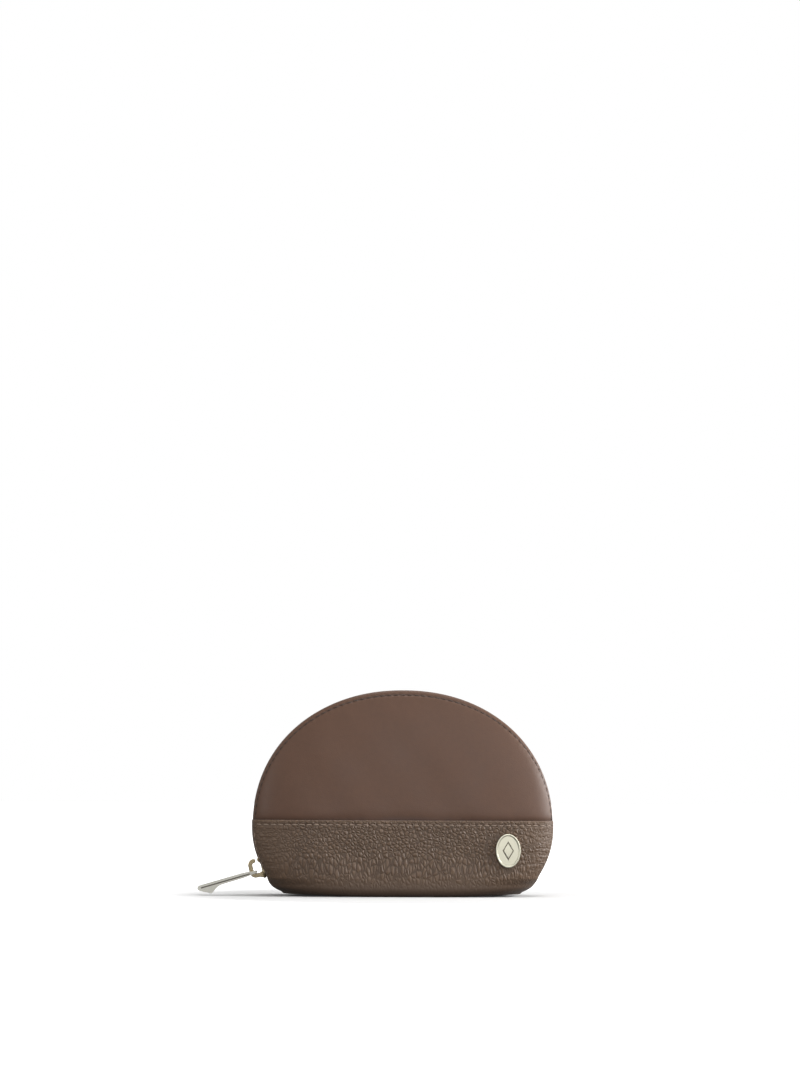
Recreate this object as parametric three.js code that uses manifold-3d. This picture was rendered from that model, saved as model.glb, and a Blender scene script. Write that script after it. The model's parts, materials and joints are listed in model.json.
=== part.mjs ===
// Half-moon zipped pouch in leather, standing on its flat base.
// Millimetres, +Z up, the front faces -Y. The origin is the middle of the base, on the surface it stands on.
// The zip runs over the top on one circular arc, so the slider travels on a hinge at that arc's centre.
import * as THREE from "three";
import { mergeVertices } from "three/addons/utils/BufferGeometryUtils.js";
import Module from "manifold-3d";

const wasm = await Module();
wasm.setup();

// ---------------------------------------------------------------- driving dimensions
const BODY_WIDTH = 145.2;
const BODY_HEIGHT = 98.9;
const BASE_DEPTH = 45;
const WIDEST_Z = 33.5; // height at which the outline is widest
const DOME_POWER = 2.12; // roundness of the dome, 2 is an ellipse
const SIDE_DRAW_IN = 6.1; // how far each side comes in between the widest height and the zip's end
const SIDE_POWER = 2.2;
const ZIP_END_Z = 11.4;
const BASE_DRAW_IN = 7.6; // how far the base's end stands inside the widest point
const BASE_CORNER = 10; // radius of the base's lower corners, seen from the front
const BASE_FOLD = 4; // radius of the fold along the base's front and back edge
const TOP_DEPTH = 24; // depth of the body just under its rolled top edge
const EDGE_GAP = 12; // between the front and back leather edges, where the zip lies
const LEAN_POWER = 1.35; // how the depth falls from base to top, 1 is a straight wedge
const PILLOW_POWER = 4.5; // how late the panels roll in towards the zip

const LEATHER = 1.1;
const STIFFENER = 0.8;
const LINING = 0.6;
const BOARD = 1.4;
const LAYER_GAP = 0.35; // between two layers of a wall
const GAP = 0.3; // between two other pieces
const JOIN = 0.3; // how far two solids that become one run into each other
const SPLIT_Z = 6; // height of the fold that the front panel swings on
const BAND_TOP_Z = 36.4; // top edge of the lower leather band
const BAND_OVERLAP = 8; // how far the band laps over the upper panel

const TEETH_BELOW_EDGE = 0.8; // the leather edge stands this far over the teeth, at the top and at the ends
const TOOTH_THICKNESS = 2;
const TOOTH_PITCH = 4;
const TOOTH_START = 0.25; // shares of the pitch where a tooth begins to step in, stands full, and ends
const TOOTH_CREST = 0.35;
const TOOTH_END = 0.9;
const PARKED_TOOTH_WIDTH = 2;
const TOOTH_REACH = 2.15; // across the zip, from a tooth's tip to the row's outer side
const ROW_HALF_GAP = 1.05; // from the middle of the zip to the tooth tips
const TAPE = 0.6;

const SLIDER_LENGTH = 10.4;
const SLIDER_HALF_WIDTH = 4.4;
const SLIDER_PLATE = 1.3;
const SLIDER_FLANGE = 0.85;
const NECK_HALF_WIDTH = 0.7;
const NECK_FROM_NOSE = 0.7;
const NECK_LENGTH = 2.7;
const FLANGE_FROM_NOSE = 2.4;
const FLANGE_FROM_TAIL = 1.4;
const PLATE_ROUND = 2.2;
const SLIDER_GAP = 0.4; // between the slider's plates and the teeth
const HOOK_THICKNESS = 1.4;
const HOOK_HALF_WIDTH = 1;
const HOOK_RISE = 5.8; // from the top plate to the hook's outer side
const HOOK_FROM_NOSE = 1.6;
const HOOK_FROM_TAIL = 0.4;
const HOOK_ROUND = 2.6;
const HOOK_MOUTH = 0.7; // between the hook's tip and the post
const POST_HEIGHT = 1.2;
const PULL_LENGTH = 29.4; // from the cross bar's axis to the tip
const PULL_WIDTH = 6;
const PULL_THICKNESS = 2.4;
const PULL_BAR = 1.2; // thickness of the cross bar that hangs in the hook
const PULL_FOOT = 2.3; // how far the foot stands under the blade
const PULL_SLOPE = 16.2; // degrees under the horizontal, at rest
const PULL_FOOT_LENGTH = 8.5; // from the middle of the heel to the tip
const PULL_HEEL = 2; // half the run of the heel's hollow
const PULL_SOLE = 3;
const STOP_LENGTH = 1.2;

const BADGE_WIDTH = 12.2;
const BADGE_HEIGHT = 16.1;
const BADGE_THICKNESS = 1.3;
const BADGE_RIM = 0.8;
const BADGE_FIELD_DEPTH = 0.4;
const BADGE_STANDOFF = 0.7; // the band is curved under the flat badge
const BADGE_X = 49.2;
const BADGE_Z = 22.1;
const PRONG_RADIUS = 0.6;
const PRONG_SPACING = 8;
const BACK_PLATE = 0.5;
const BACK_PLATE_WIDTH = 6.8;
const BACK_PLATE_HEIGHT = 11.4;

const COLUMNS = 20; // facets across a panel
const ARC_STEPS = 36; // facets along the zip

// ---------------------------------------------------------------- sizes that follow
const halfWidth = BODY_WIDTH / 2;
const edgeHalfGap = EDGE_GAP / 2;
const wallBottomZ = SPLIT_Z + GAP / 2;
const upperDepth = LEATHER + LAYER_GAP; // the upper panel lies this far inside the band's face
const domeRise = BODY_HEIGHT + upperDepth - WIDEST_Z;
const stiffenerDepth = upperDepth + LEATHER + LAYER_GAP;
const liningDepth = stiffenerDepth + STIFFENER + LAYER_GAP;

const zipTopZ = BODY_HEIGHT - TEETH_BELOW_EDGE;
const zipEndX = outlineHalfWidth(ZIP_END_Z) - TEETH_BELOW_EDGE;
const zipCentreZ = (zipTopZ ** 2 - zipEndX ** 2 - ZIP_END_Z ** 2) / (2 * (zipTopZ - ZIP_END_Z));
const teethOuter = zipTopZ - zipCentreZ;
const teethInner = teethOuter - TOOTH_THICKNESS;
const zipRadius = (teethOuter + teethInner) / 2;
const tapeHalf = edgeHalfGap - GAP;
const rowOuter = ROW_HALF_GAP + TOOTH_REACH;

const zipEndAngle = Math.asin((zipCentreZ - ZIP_END_Z) / zipRadius); // below the horizontal, on both sides
const sliderHalfAngle = SLIDER_LENGTH / 2 / zipRadius;
const sliderRestAngle = zipEndAngle - sliderHalfAngle / 2;
const parkedTopAngle = sliderRestAngle - sliderHalfAngle - (GAP * 2) / zipRadius;
const stopAngle = sliderRestAngle + sliderHalfAngle + (GAP * 2) / zipRadius;
const tapeEndAngle = stopAngle + (STOP_LENGTH + GAP) / zipRadius;

// ---------------------------------------------------------------- the body's outline and depth
function outlineHalfWidth(z) {
  if (z > WIDEST_Z) {
    const up = Math.min(1, (z - WIDEST_Z) / domeRise);
    return halfWidth * (1 - up ** DOME_POWER) ** (1 / DOME_POWER);
  }
  const draw = (WIDEST_Z - z) / (WIDEST_Z - ZIP_END_Z);
  const side = halfWidth - SIDE_DRAW_IN * draw ** SIDE_POWER;
  const down = Math.max(0, (BASE_CORNER - z) / BASE_CORNER);
  const corner = halfWidth - BASE_DRAW_IN - BASE_CORNER * (1 - Math.sqrt(1 - down * down));
  return Math.max(side, corner);
}

function domeZ(x) {
  const across = Math.min(1, Math.abs(x) / halfWidth);
  return WIDEST_Z + domeRise * (1 - across ** DOME_POWER) ** (1 / DOME_POWER);
}

function fullness(x, z) {
  const across = Math.abs(x) / halfWidth;
  const up = (z - WIDEST_Z) / domeRise;
  const rim = z > WIDEST_Z
    ? (across ** DOME_POWER + up ** DOME_POWER) ** (1 / DOME_POWER)
    : Math.abs(x) / outlineHalfWidth(z);
  return Math.sqrt(Math.max(0, 1 - Math.min(1, rim) ** PILLOW_POWER));
}

// Half the depth on the centre line.
function middleHalfDepth(z) {
  const lean = 1 - (z / BODY_HEIGHT) ** LEAN_POWER;
  const fold = Math.max(0, (BASE_FOLD - z) / BASE_FOLD);
  const rounding = BASE_FOLD * (1 - Math.sqrt(1 - fold * fold));
  return (TOP_DEPTH + (BASE_DEPTH - TOP_DEPTH) * lean) / 2 - rounding;
}

// Half the depth of a surface that lies inset inside the body's face. It always ends at the zip's edge gap.
function halfDepth(x, z, inset = 0) {
  return edgeHalfGap + (middleHalfDepth(z) - inset - edgeHalfGap) * fullness(x, z);
}

// A panel's face, inset from the body's face. across runs from -1 to 1, up from 0 to 1; side is -1 at the front.
function domePanel(side, bottomZ) {
  return (across, up, inset) => {
    const turn = Math.sin((across * Math.PI) / 2);
    const z = bottomZ + (domeZ(halfWidth * turn) - bottomZ) * Math.sin((up * Math.PI) / 2);
    const x = turn * outlineHalfWidth(Math.min(z, WIDEST_Z));
    const lowered = z - inset * Math.max(0, (z - WIDEST_Z) / domeRise);
    return new THREE.Vector3(x - turn * inset, side * halfDepth(x, Math.min(z, BODY_HEIGHT), inset), lowered);
  };
}

function bandPanel(side, bottomZ, topZ) {
  return (across, up, inset) => {
    const z = bottomZ + (topZ - bottomZ) * up;
    const turn = Math.sin((across * Math.PI) / 2);
    const x = turn * outlineHalfWidth(z);
    return new THREE.Vector3(x - turn * inset, side * halfDepth(x, z, inset), z);
  };
}

// ---------------------------------------------------------------- closed meshes
function geometryFrom(points, triangles) {
  const used = triangles.filter(([a, b, c]) => a !== b && b !== c && a !== c);
  const volume = used.reduce((sum, [a, b, c]) => {
    return sum + points[a].dot(new THREE.Vector3().crossVectors(points[b], points[c]));
  }, 0);
  const geometry = new THREE.BufferGeometry();
  const positions = new THREE.Float32BufferAttribute(points.flatMap((p) => p.toArray()), 3);
  geometry.setAttribute("position", positions);
  geometry.setIndex(used.flatMap(([a, b, c]) => (volume > 0 ? [a, b, c] : [a, c, b])));
  geometry.computeVertexNormals();
  return geometry;
}

// A solid through a row of loops with the same number of points, closed by a flat face at each end.
function loft(loops) {
  const n = loops[0].length;
  const triangles = [];
  for (let i = 0; i + 1 < loops.length; i++) {
    for (let k = 0; k < n; k++) {
      const a = i * n + k;
      const b = i * n + ((k + 1) % n);
      triangles.push([a, b, b + n], [a, b + n, a + n]);
    }
  }
  const last = (loops.length - 1) * n;
  for (let k = 1; k + 1 < n; k++) {
    triangles.push([0, k + 1, k], [last, last + k, last + k + 1]);
  }
  return geometryFrom(loops.flat(), triangles);
}

// One layer of a wall: a panel's face at one inset, and at thickness more for its other side.
function layer(face, rows, inset, thickness) {
  const points = [];
  const triangles = [];
  const across = COLUMNS + 1;
  for (const depth of [inset, inset + thickness]) {
    for (let j = 0; j <= rows; j++) {
      for (let i = 0; i <= COLUMNS; i++) {
        points.push(face(-1 + (2 * i) / COLUMNS, j / rows, depth));
      }
    }
  }
  const inner = across * (rows + 1);
  const quad = (a, b, c, d) => triangles.push([a, b, c], [a, c, d]);
  for (let j = 0; j < rows; j++) {
    for (let i = 0; i < COLUMNS; i++) {
      const a = j * across + i;
      quad(a, a + 1, a + 1 + across, a + across);
      quad(inner + a, inner + a + across, inner + a + 1 + across, inner + a + 1);
    }
  }
  const top = rows * across;
  for (let i = 0; i < COLUMNS; i++) {
    quad(i, inner + i, inner + i + 1, i + 1);
    quad(top + i, top + i + 1, inner + top + i + 1, inner + top + i);
  }
  for (let j = 0; j < rows; j++) {
    const left = j * across;
    const right = left + COLUMNS;
    quad(left, left + across, inner + left + across, inner + left);
    quad(right, inner + right, inner + right + across, right + across);
  }
  return geometryFrom(points, triangles);
}

// The body's level section, as a loop of points. inset moves it inwards.
function levelLoop(z, inset, levelZ = z) {
  const reach = outlineHalfWidth(z) - inset;
  const loop = [];
  for (const side of [-1, 1]) {
    for (let i = 0; i <= COLUMNS; i++) {
      const turn = Math.sin((-1 + (2 * i) / COLUMNS) * (Math.PI / 2));
      const y = Math.max(halfDepth(turn * outlineHalfWidth(z), z) - inset, edgeHalfGap - inset);
      loop.push(new THREE.Vector3(-side * turn * reach, side * y, levelZ));
    }
  }
  return loop;
}

function solid(geometry) {
  const bare = geometry.clone();
  bare.deleteAttribute("normal");
  bare.deleteAttribute("uv");
  const merged = mergeVertices(bare, 1e-4);
  return new wasm.Manifold(new wasm.Mesh({
    numProp: 3,
    vertProperties: new Float32Array(merged.attributes.position.array),
    triVerts: new Uint32Array(merged.index.array),
  }));
}

function geometryOf(manifold) {
  const mesh = manifold.getMesh();
  const geometry = new THREE.BufferGeometry();
  geometry.setAttribute("position", new THREE.BufferAttribute(new Float32Array(mesh.vertProperties), 3));
  geometry.setIndex(new THREE.BufferAttribute(new Uint32Array(mesh.triVerts), 1));
  geometry.computeVertexNormals();
  return geometry;
}

const joined = (parts) => geometryOf(parts.map(solid).reduce((whole, part) => whole.add(part)));

function cutFrom(whole, cuts) {
  return geometryOf(cuts.map(solid).reduce((rest, cut) => rest.subtract(cut), solid(whole)));
}

// Extrudes an outline drawn in X and Z from y0 to y1.
function extrudeY(shape, y0, y1, curveSegments = 8) {
  const geometry = new THREE.ExtrudeGeometry(shape, { depth: y1 - y0, bevelEnabled: false, curveSegments });
  geometry.rotateX(Math.PI / 2);
  geometry.translate(0, y1, 0);
  return geometry;
}

// A stretch of ring about the zip's centre line, between two radii and two angles from +X towards +Z.
function ringPiece(inner, outer, from, to, y0, y1, steps) {
  const shape = new THREE.Shape();
  shape.absarc(0, 0, outer, from, to, false);
  shape.absarc(0, 0, inner, to, from, true);
  const geometry = extrudeY(shape, y0, y1, steps);
  geometry.translate(0, 0, zipCentreZ);
  return geometry;
}

const atAngle = (radius, angle, y) => {
  return new THREE.Vector3(radius * Math.cos(angle), y, zipCentreZ + radius * Math.sin(angle));
};

// Turns a piece drawn at the top of the zip, with its run along X, to its angle on the zip.
function placeOnZip(geometry, angle) {
  geometry.translate(0, 0, -zipCentreZ);
  geometry.rotateY(Math.PI / 2 - angle);
  geometry.translate(0, 0, zipCentreZ);
  return geometry;
}

// ---------------------------------------------------------------- materials
const material = (color, roughness, metalness) => new THREE.MeshStandardMaterial({ color, roughness, metalness });
const smoothLeather = material(0x67513f, 0.55, 0);
const pebbledLeather = material(0x5f5045, 0.6, 0);
const paleGold = material(0xd8cfb4, 0.25, 1);
const brownTape = material(0x51443b, 0.9, 0);
const liningCloth = material(0x9a8a78, 0.9, 0);
const greyBoard = material(0x8d8880, 0.9, 0);

const pouch = new THREE.Group();
function addPart(name, geometry, itsMaterial, parent = pouch) {
  const mesh = new THREE.Mesh(geometry, itsMaterial);
  mesh.name = name;
  parent.add(mesh);
  return mesh;
}

// ---------------------------------------------------------------- base
function basePanel() {
  const topZ = SPLIT_Z - GAP / 2;
  const levels = [0, 0.15, 0.45, 0.8].map((share) => share * BASE_FOLD);
  const outside = [...levels, topZ].map((z) => levelLoop(z, 0));
  const inside = [topZ, ...levels.slice(2).reverse()].map((z) => levelLoop(z, LEATHER));
  return loft([...outside, ...inside, levelLoop(levels[1], LEATHER, LEATHER)]);
}

function baseSlab(bottomZ, thickness) {
  const section = (z) => levelLoop(Math.min(bottomZ, BASE_FOLD) * 0.5, LEATHER + 2 * GAP, z);
  return loft([section(bottomZ), section(bottomZ + thickness)]);
}

addPart("base_panel", basePanel(), pebbledLeather);
addPart("base_board", baseSlab(LEATHER + GAP, BOARD), greyBoard);
addPart("base_lining", baseSlab(LEATHER + BOARD + 2 * GAP, LINING), liningCloth);

// ---------------------------------------------------------------- front and back walls
const ROWS_UPPER = 7;
const ROWS_BAND = 6;
const ROWS_INNER = 8;

// Where the badge sits on the front band, and which way it faces.
function badgeFrame() {
  const y = -halfDepth(BADGE_X, BADGE_Z);
  const slopeX = (halfDepth(BADGE_X + 1, BADGE_Z) - halfDepth(BADGE_X - 1, BADGE_Z)) / 2;
  const slopeZ = (halfDepth(BADGE_X, BADGE_Z + 1) - halfDepth(BADGE_X, BADGE_Z - 1)) / 2;
  const out = new THREE.Vector3(-slopeX, -1, -slopeZ).normalize();
  const right = new THREE.Vector3().crossVectors(out, new THREE.Vector3(0, 0, -1)).normalize();
  const up = new THREE.Vector3().crossVectors(out, right);
  return new THREE.Matrix4().makeBasis(right, up, out).setPosition(BADGE_X, y, BADGE_Z);
}

function badgeDisc(halfX, halfY, from, to) {
  const shape = new THREE.Shape();
  shape.absellipse(0, 0, halfX, halfY, 0, 2 * Math.PI, false);
  const geometry = new THREE.ExtrudeGeometry(shape, { depth: to - from, bevelEnabled: false, curveSegments: 12 });
  geometry.translate(0, 0, from);
  return geometry;
}

function badgeProngs(radius, from, to) {
  return [-1, 1].map((end) => {
    const pin = new THREE.CylinderGeometry(radius, radius, to - from, 8);
    pin.rotateX(Math.PI / 2);
    pin.translate(0, (end * PRONG_SPACING) / 2, (from + to) / 2);
    return pin;
  });
}

const onBadge = (geometry) => geometry.applyMatrix4(badgeFrame());
const prongHoles = badgeProngs(PRONG_RADIUS + GAP, -2 * LEATHER, LEATHER).map(onBadge);

for (const [where, side] of [["back", 1], ["front", -1]]) {
  const upper = domePanel(side, BAND_TOP_Z - BAND_OVERLAP);
  const whole = domePanel(side, wallBottomZ);
  const band = layer(bandPanel(side, wallBottomZ, BAND_TOP_Z), ROWS_BAND, 0, LEATHER);
  addPart(`${where}_upper_panel`, layer(upper, ROWS_UPPER, upperDepth, LEATHER), smoothLeather);
  addPart(`${where}_lower_panel`, side < 0 ? cutFrom(band, prongHoles) : band, pebbledLeather);
  addPart(`${where}_stiffener`, layer(whole, ROWS_INNER, stiffenerDepth, STIFFENER), greyBoard);
  addPart(`${where}_lining`, layer(whole, ROWS_INNER, liningDepth, LINING), liningCloth);
}

// ---------------------------------------------------------------- badge
const badgeFace = BADGE_STANDOFF + BADGE_THICKNESS;
const fieldFace = badgeFace - BADGE_FIELD_DEPTH;
const badgeField = badgeDisc(BADGE_WIDTH / 2 - BADGE_RIM, BADGE_HEIGHT / 2 - BADGE_RIM, fieldFace, badgeFace + 1);
const badgeBlank = badgeDisc(BADGE_WIDTH / 2, BADGE_HEIGHT / 2, BADGE_STANDOFF, badgeFace);
const prongEnd = -LEATHER - GAP;
const prongs = badgeProngs(PRONG_RADIUS, prongEnd, BADGE_STANDOFF + JOIN);
addPart("badge_plate", onBadge(cutFrom(joined([badgeBlank, ...prongs]), [badgeField])), paleGold);
const backPlateFace = prongEnd - GAP;
const backPlate = badgeDisc(BACK_PLATE_WIDTH / 2, BACK_PLATE_HEIGHT / 2, backPlateFace - BACK_PLATE, backPlateFace);
addPart("badge_back_plate", onBadge(backPlate), paleGold);

// ---------------------------------------------------------------- zip
// A row of teeth on its cord: a bar whose inner side steps in and out, bent along the zip.
function toothRow(side, from, to) {
  const inner = ROW_HALF_GAP;
  const root = ROW_HALF_GAP + TOOTH_REACH / 2;
  const count = Math.floor(((to - from) * zipRadius) / TOOTH_PITCH);
  const pitch = (to - from) / count;
  const stations = [];
  for (let i = 0; i < count; i++) {
    const start = from + i * pitch;
    stations.push([start, root], [start + pitch * TOOTH_START, root]);
    stations.push([start + pitch * TOOTH_CREST, inner], [start + pitch * TOOTH_END, inner]);
  }
  stations.push([to, root]);
  return loft(stations.map(([angle, y]) => [
    atAngle(teethInner, angle, side * y),
    atAngle(teethOuter, angle, side * y),
    atAngle(teethOuter, angle, side * rowOuter),
    atAngle(teethInner, angle, side * rowOuter),
  ]));
}

const tapeInner = zipRadius - TAPE / 2;
const tapeOuter = zipRadius + TAPE / 2;
const acrossZip = (side, near, far) => (side < 0 ? [-far, -near] : [near, far]);
const sweepStart = -parkedTopAngle + GAP / zipRadius;
const sweepEnd = Math.PI + parkedTopAngle - GAP / zipRadius;

for (const [where, side] of [["back", 1], ["front", -1]]) {
  const [y0, y1] = acrossZip(side, rowOuter + GAP, tapeHalf);
  addPart(`${where}_zip_tape`, ringPiece(tapeInner, tapeOuter, sweepStart, sweepEnd, y0, y1, ARC_STEPS), brownTape);
  addPart(`${where}_tooth_row`, toothRow(side, sweepStart, sweepEnd), paleGold);
}

// The last stretch of the zip at each end, where the slider parks: both tapes with their last teeth, joined below.
function zipEnd(from, to, joinFrom, joinTo) {
  const parts = [ringPiece(tapeInner, tapeOuter, joinFrom, joinTo, -tapeHalf, tapeHalf, 2)];
  for (const side of [-1, 1]) {
    const [near, far] = acrossZip(side, ROW_HALF_GAP, tapeHalf);
    parts.push(ringPiece(tapeInner, tapeOuter, from, to, near, far, 6));
    const [toothNear, toothFar] = acrossZip(side, ROW_HALF_GAP, rowOuter);
    const last = Math.floor((SLIDER_LENGTH - TOOTH_PITCH / 2) / TOOTH_PITCH);
    for (let i = 0; i <= last; i++) {
      const middle = (from + to) / 2 + ((i - last / 2) * TOOTH_PITCH) / zipRadius;
      const tooth = new THREE.BoxGeometry(PARKED_TOOTH_WIDTH, toothFar - toothNear, TOOTH_THICKNESS);
      tooth.translate(0, (toothNear + toothFar) / 2, zipCentreZ + zipRadius);
      parts.push(placeOnZip(tooth, middle));
    }
  }
  return joined(parts);
}

const joinStart = stopAngle - GAP / zipRadius;
addPart("zip_end_left", zipEnd(
  Math.PI + parkedTopAngle, Math.PI + stopAngle, Math.PI + joinStart, Math.PI + tapeEndAngle,
), brownTape);
addPart("zip_end_right", zipEnd(-stopAngle, -parkedTopAngle, -tapeEndAngle, -joinStart), brownTape);

function stopClip(angle, y0, y1) {
  const half = STOP_LENGTH / 2 / zipRadius;
  return ringPiece(tapeOuter + GAP, teethOuter + GAP, angle - half, angle + half, y0, y1, 1);
}

const stopMiddle = stopAngle + STOP_LENGTH / 2 / zipRadius;
for (const [where, side] of [["back", 1], ["front", -1]]) {
  const [y0, y1] = acrossZip(side, NECK_HALF_WIDTH, rowOuter);
  addPart(`top_stop_${where}`, stopClip(Math.PI + stopMiddle, y0, y1), paleGold);
}
addPart("bottom_stop", stopClip(-stopMiddle, -rowOuter, rowOuter), paleGold);

// ---------------------------------------------------------------- slider
// Drawn at the top of the zip with its nose towards -X, then turned to where it parks at the left end.
const sag = SLIDER_LENGTH ** 2 / 8 / zipRadius; // how far the bent teeth fall away under the slider's ends
const topPlateZ = zipCentreZ + teethOuter + SLIDER_GAP;
const bottomPlateZ = zipCentreZ + teethInner - sag - SLIDER_GAP;
const plateFaceZ = topPlateZ + SLIDER_PLATE;
const nose = -SLIDER_LENGTH / 2;
const tail = SLIDER_LENGTH / 2;

function sliderPlate(z0, z1, halfLong, halfWide) {
  const shape = new THREE.Shape();
  const round = PLATE_ROUND;
  shape.moveTo(-halfLong + round, -halfWide);
  shape.lineTo(halfLong - round / 2, -halfWide);
  shape.quadraticCurveTo(halfLong, -halfWide, halfLong, -halfWide + round);
  shape.lineTo(halfLong, halfWide - round);
  shape.quadraticCurveTo(halfLong, halfWide, halfLong - round / 2, halfWide);
  shape.lineTo(-halfLong + round, halfWide);
  shape.quadraticCurveTo(-halfLong, halfWide, -halfLong, halfWide - round);
  shape.lineTo(-halfLong, -halfWide + round);
  shape.quadraticCurveTo(-halfLong, -halfWide, -halfLong + round, -halfWide);
  const geometry = new THREE.ExtrudeGeometry(shape, { depth: z1 - z0, bevelEnabled: false, curveSegments: 3 });
  geometry.translate(0, 0, z0);
  return geometry;
}

function block(x0, x1, y0, y1, z0, z1) {
  const geometry = new THREE.BoxGeometry(x1 - x0, y1 - y0, z1 - z0);
  geometry.translate((x0 + x1) / 2, (y0 + y1) / 2, (z0 + z1) / 2);
  return geometry;
}

// The hook: it rises from the top plate near the nose, runs back over it and turns down to the tail post.
const hookTopZ = plateFaceZ + HOOK_RISE;
const hookFrontX = nose + HOOK_FROM_NOSE;
const hookBackX = tail - HOOK_FROM_TAIL;
function hookShape() {
  const round = HOOK_ROUND;
  const inner = round - HOOK_THICKNESS;
  const tipZ = plateFaceZ + POST_HEIGHT + HOOK_MOUTH;
  const low = plateFaceZ - JOIN;
  const shape = new THREE.Shape();
  shape.moveTo(hookFrontX, low);
  shape.lineTo(hookFrontX, hookTopZ - round);
  shape.absarc(hookFrontX + round, hookTopZ - round, round, Math.PI, Math.PI / 2, true);
  shape.absarc(hookBackX - round, hookTopZ - round, round, Math.PI / 2, 0, true);
  shape.lineTo(hookBackX, tipZ);
  shape.lineTo(hookBackX - HOOK_THICKNESS, tipZ);
  shape.lineTo(hookBackX - HOOK_THICKNESS, hookTopZ - round);
  shape.absarc(hookBackX - round, hookTopZ - round, inner, 0, Math.PI / 2, false);
  shape.absarc(hookFrontX + round, hookTopZ - round, inner, Math.PI / 2, Math.PI, false);
  shape.lineTo(hookFrontX + HOOK_THICKNESS, low);
  shape.closePath();
  return shape;
}

function sliderBody() {
  const neckX = nose + NECK_FROM_NOSE;
  const postX = hookBackX - HOOK_THICKNESS;
  const flangeZ = zipCentreZ + tapeOuter + GAP;
  const parts = [
    sliderPlate(topPlateZ, plateFaceZ, SLIDER_LENGTH / 2, SLIDER_HALF_WIDTH),
    sliderPlate(bottomPlateZ - SLIDER_PLATE, bottomPlateZ, SLIDER_LENGTH / 2, SLIDER_HALF_WIDTH),
    block(neckX, neckX + NECK_LENGTH, -NECK_HALF_WIDTH, NECK_HALF_WIDTH, bottomPlateZ - JOIN, topPlateZ + JOIN),
    block(postX, hookBackX, -HOOK_HALF_WIDTH, HOOK_HALF_WIDTH, plateFaceZ - JOIN, plateFaceZ + POST_HEIGHT),
    extrudeY(hookShape(), -HOOK_HALF_WIDTH, HOOK_HALF_WIDTH, 4),
  ];
  for (const side of [-1, 1]) {
    const [y0, y1] = acrossZip(side, SLIDER_HALF_WIDTH - SLIDER_FLANGE, SLIDER_HALF_WIDTH);
    parts.push(block(nose + FLANGE_FROM_NOSE, tail - FLANGE_FROM_TAIL, y0, y1, flangeZ, topPlateZ + JOIN));
  }
  return joined(parts);
}

const restAngle = Math.PI + sliderRestAngle;
addPart("slider_body", placeOnZip(sliderBody(), restAngle), paleGold);

// ---------------------------------------------------------------- pull
// Drawn along -X from its cross bar, with its foot under the tip, then hung in the hook.
const pivotX = hookFrontX + HOOK_THICKNESS + GAP + PULL_BAR / 2;
const pivotZ = plateFaceZ + HOOK_RISE / 2;
const hookReach = Math.hypot(hookBackX - pivotX, hookTopZ - pivotZ);
const windowEnd = hookReach + 2 * GAP;

function pullBlade() {
  const half = PULL_THICKNESS / 2;
  const bar = PULL_BAR / 2;
  const foot = PULL_LENGTH - PULL_FOOT_LENGTH;
  const shape = new THREE.Shape();
  shape.moveTo(0, -bar);
  shape.absarc(0, 0, bar, -Math.PI / 2, Math.PI / 2, false);
  shape.lineTo(1 - windowEnd, half);
  shape.lineTo(1 - PULL_LENGTH, half);
  shape.quadraticCurveTo(-PULL_LENGTH, 0, 0.5 - PULL_LENGTH, 0.5 - half);
  shape.lineTo(-foot - PULL_HEEL - PULL_SOLE, -half - PULL_FOOT);
  shape.lineTo(-foot - PULL_HEEL, -half - PULL_FOOT);
  shape.quadraticCurveTo(-foot, -half, PULL_HEEL - foot, -half);
  shape.lineTo(1 - windowEnd, -half);
  shape.closePath();
  const blade = extrudeY(shape, -PULL_WIDTH / 2, PULL_WIDTH / 2, 5);
  const slot = HOOK_HALF_WIDTH + GAP;
  return cutFrom(blade, [block(-windowEnd, -bar, -slot, slot, -PULL_LENGTH, PULL_LENGTH)]);
}

// The pull's pivot, carried to the slider's place on the zip.
const turned = new THREE.Matrix4().makeRotationY(Math.PI / 2 - restAngle);
const pivot = new THREE.Vector3(pivotX, 0, pivotZ - zipCentreZ).applyMatrix4(turned);
pivot.z += zipCentreZ;

const pull = pullBlade();
pull.rotateY(THREE.MathUtils.degToRad(-PULL_SLOPE));
pull.translate(pivot.x, pivot.y, pivot.z);
addPart("pull_tab", pull, paleGold);

export default pouch;
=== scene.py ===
import json
import math

import bpy
import numpy as np
from mathutils import Matrix, Vector


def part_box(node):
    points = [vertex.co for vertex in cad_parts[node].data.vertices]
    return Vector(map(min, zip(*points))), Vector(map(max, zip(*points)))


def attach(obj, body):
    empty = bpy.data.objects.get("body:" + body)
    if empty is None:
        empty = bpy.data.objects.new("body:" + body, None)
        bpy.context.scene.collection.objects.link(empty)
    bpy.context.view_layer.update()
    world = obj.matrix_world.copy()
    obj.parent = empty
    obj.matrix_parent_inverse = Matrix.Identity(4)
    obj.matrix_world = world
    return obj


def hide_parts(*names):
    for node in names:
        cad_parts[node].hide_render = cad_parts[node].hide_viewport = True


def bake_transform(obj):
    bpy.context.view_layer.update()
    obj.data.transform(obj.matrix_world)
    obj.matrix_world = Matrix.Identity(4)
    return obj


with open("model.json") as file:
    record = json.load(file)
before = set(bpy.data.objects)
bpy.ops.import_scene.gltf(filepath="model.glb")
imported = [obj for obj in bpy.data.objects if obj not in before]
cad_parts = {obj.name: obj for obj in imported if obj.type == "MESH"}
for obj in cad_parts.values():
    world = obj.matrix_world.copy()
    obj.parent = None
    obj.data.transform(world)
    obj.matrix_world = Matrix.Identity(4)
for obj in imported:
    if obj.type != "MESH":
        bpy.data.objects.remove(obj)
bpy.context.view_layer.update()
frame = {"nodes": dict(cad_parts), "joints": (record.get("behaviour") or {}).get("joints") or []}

# A half-moon zipped pouch: two smooth leather walls, a pebbled band that laps over them and wraps under the
# base, a metal zip over the top, a hooked slider with a straight pull, and an oval badge.
# Shapes are worked out in millimetres and made in metres.
MM = 0.001


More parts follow.
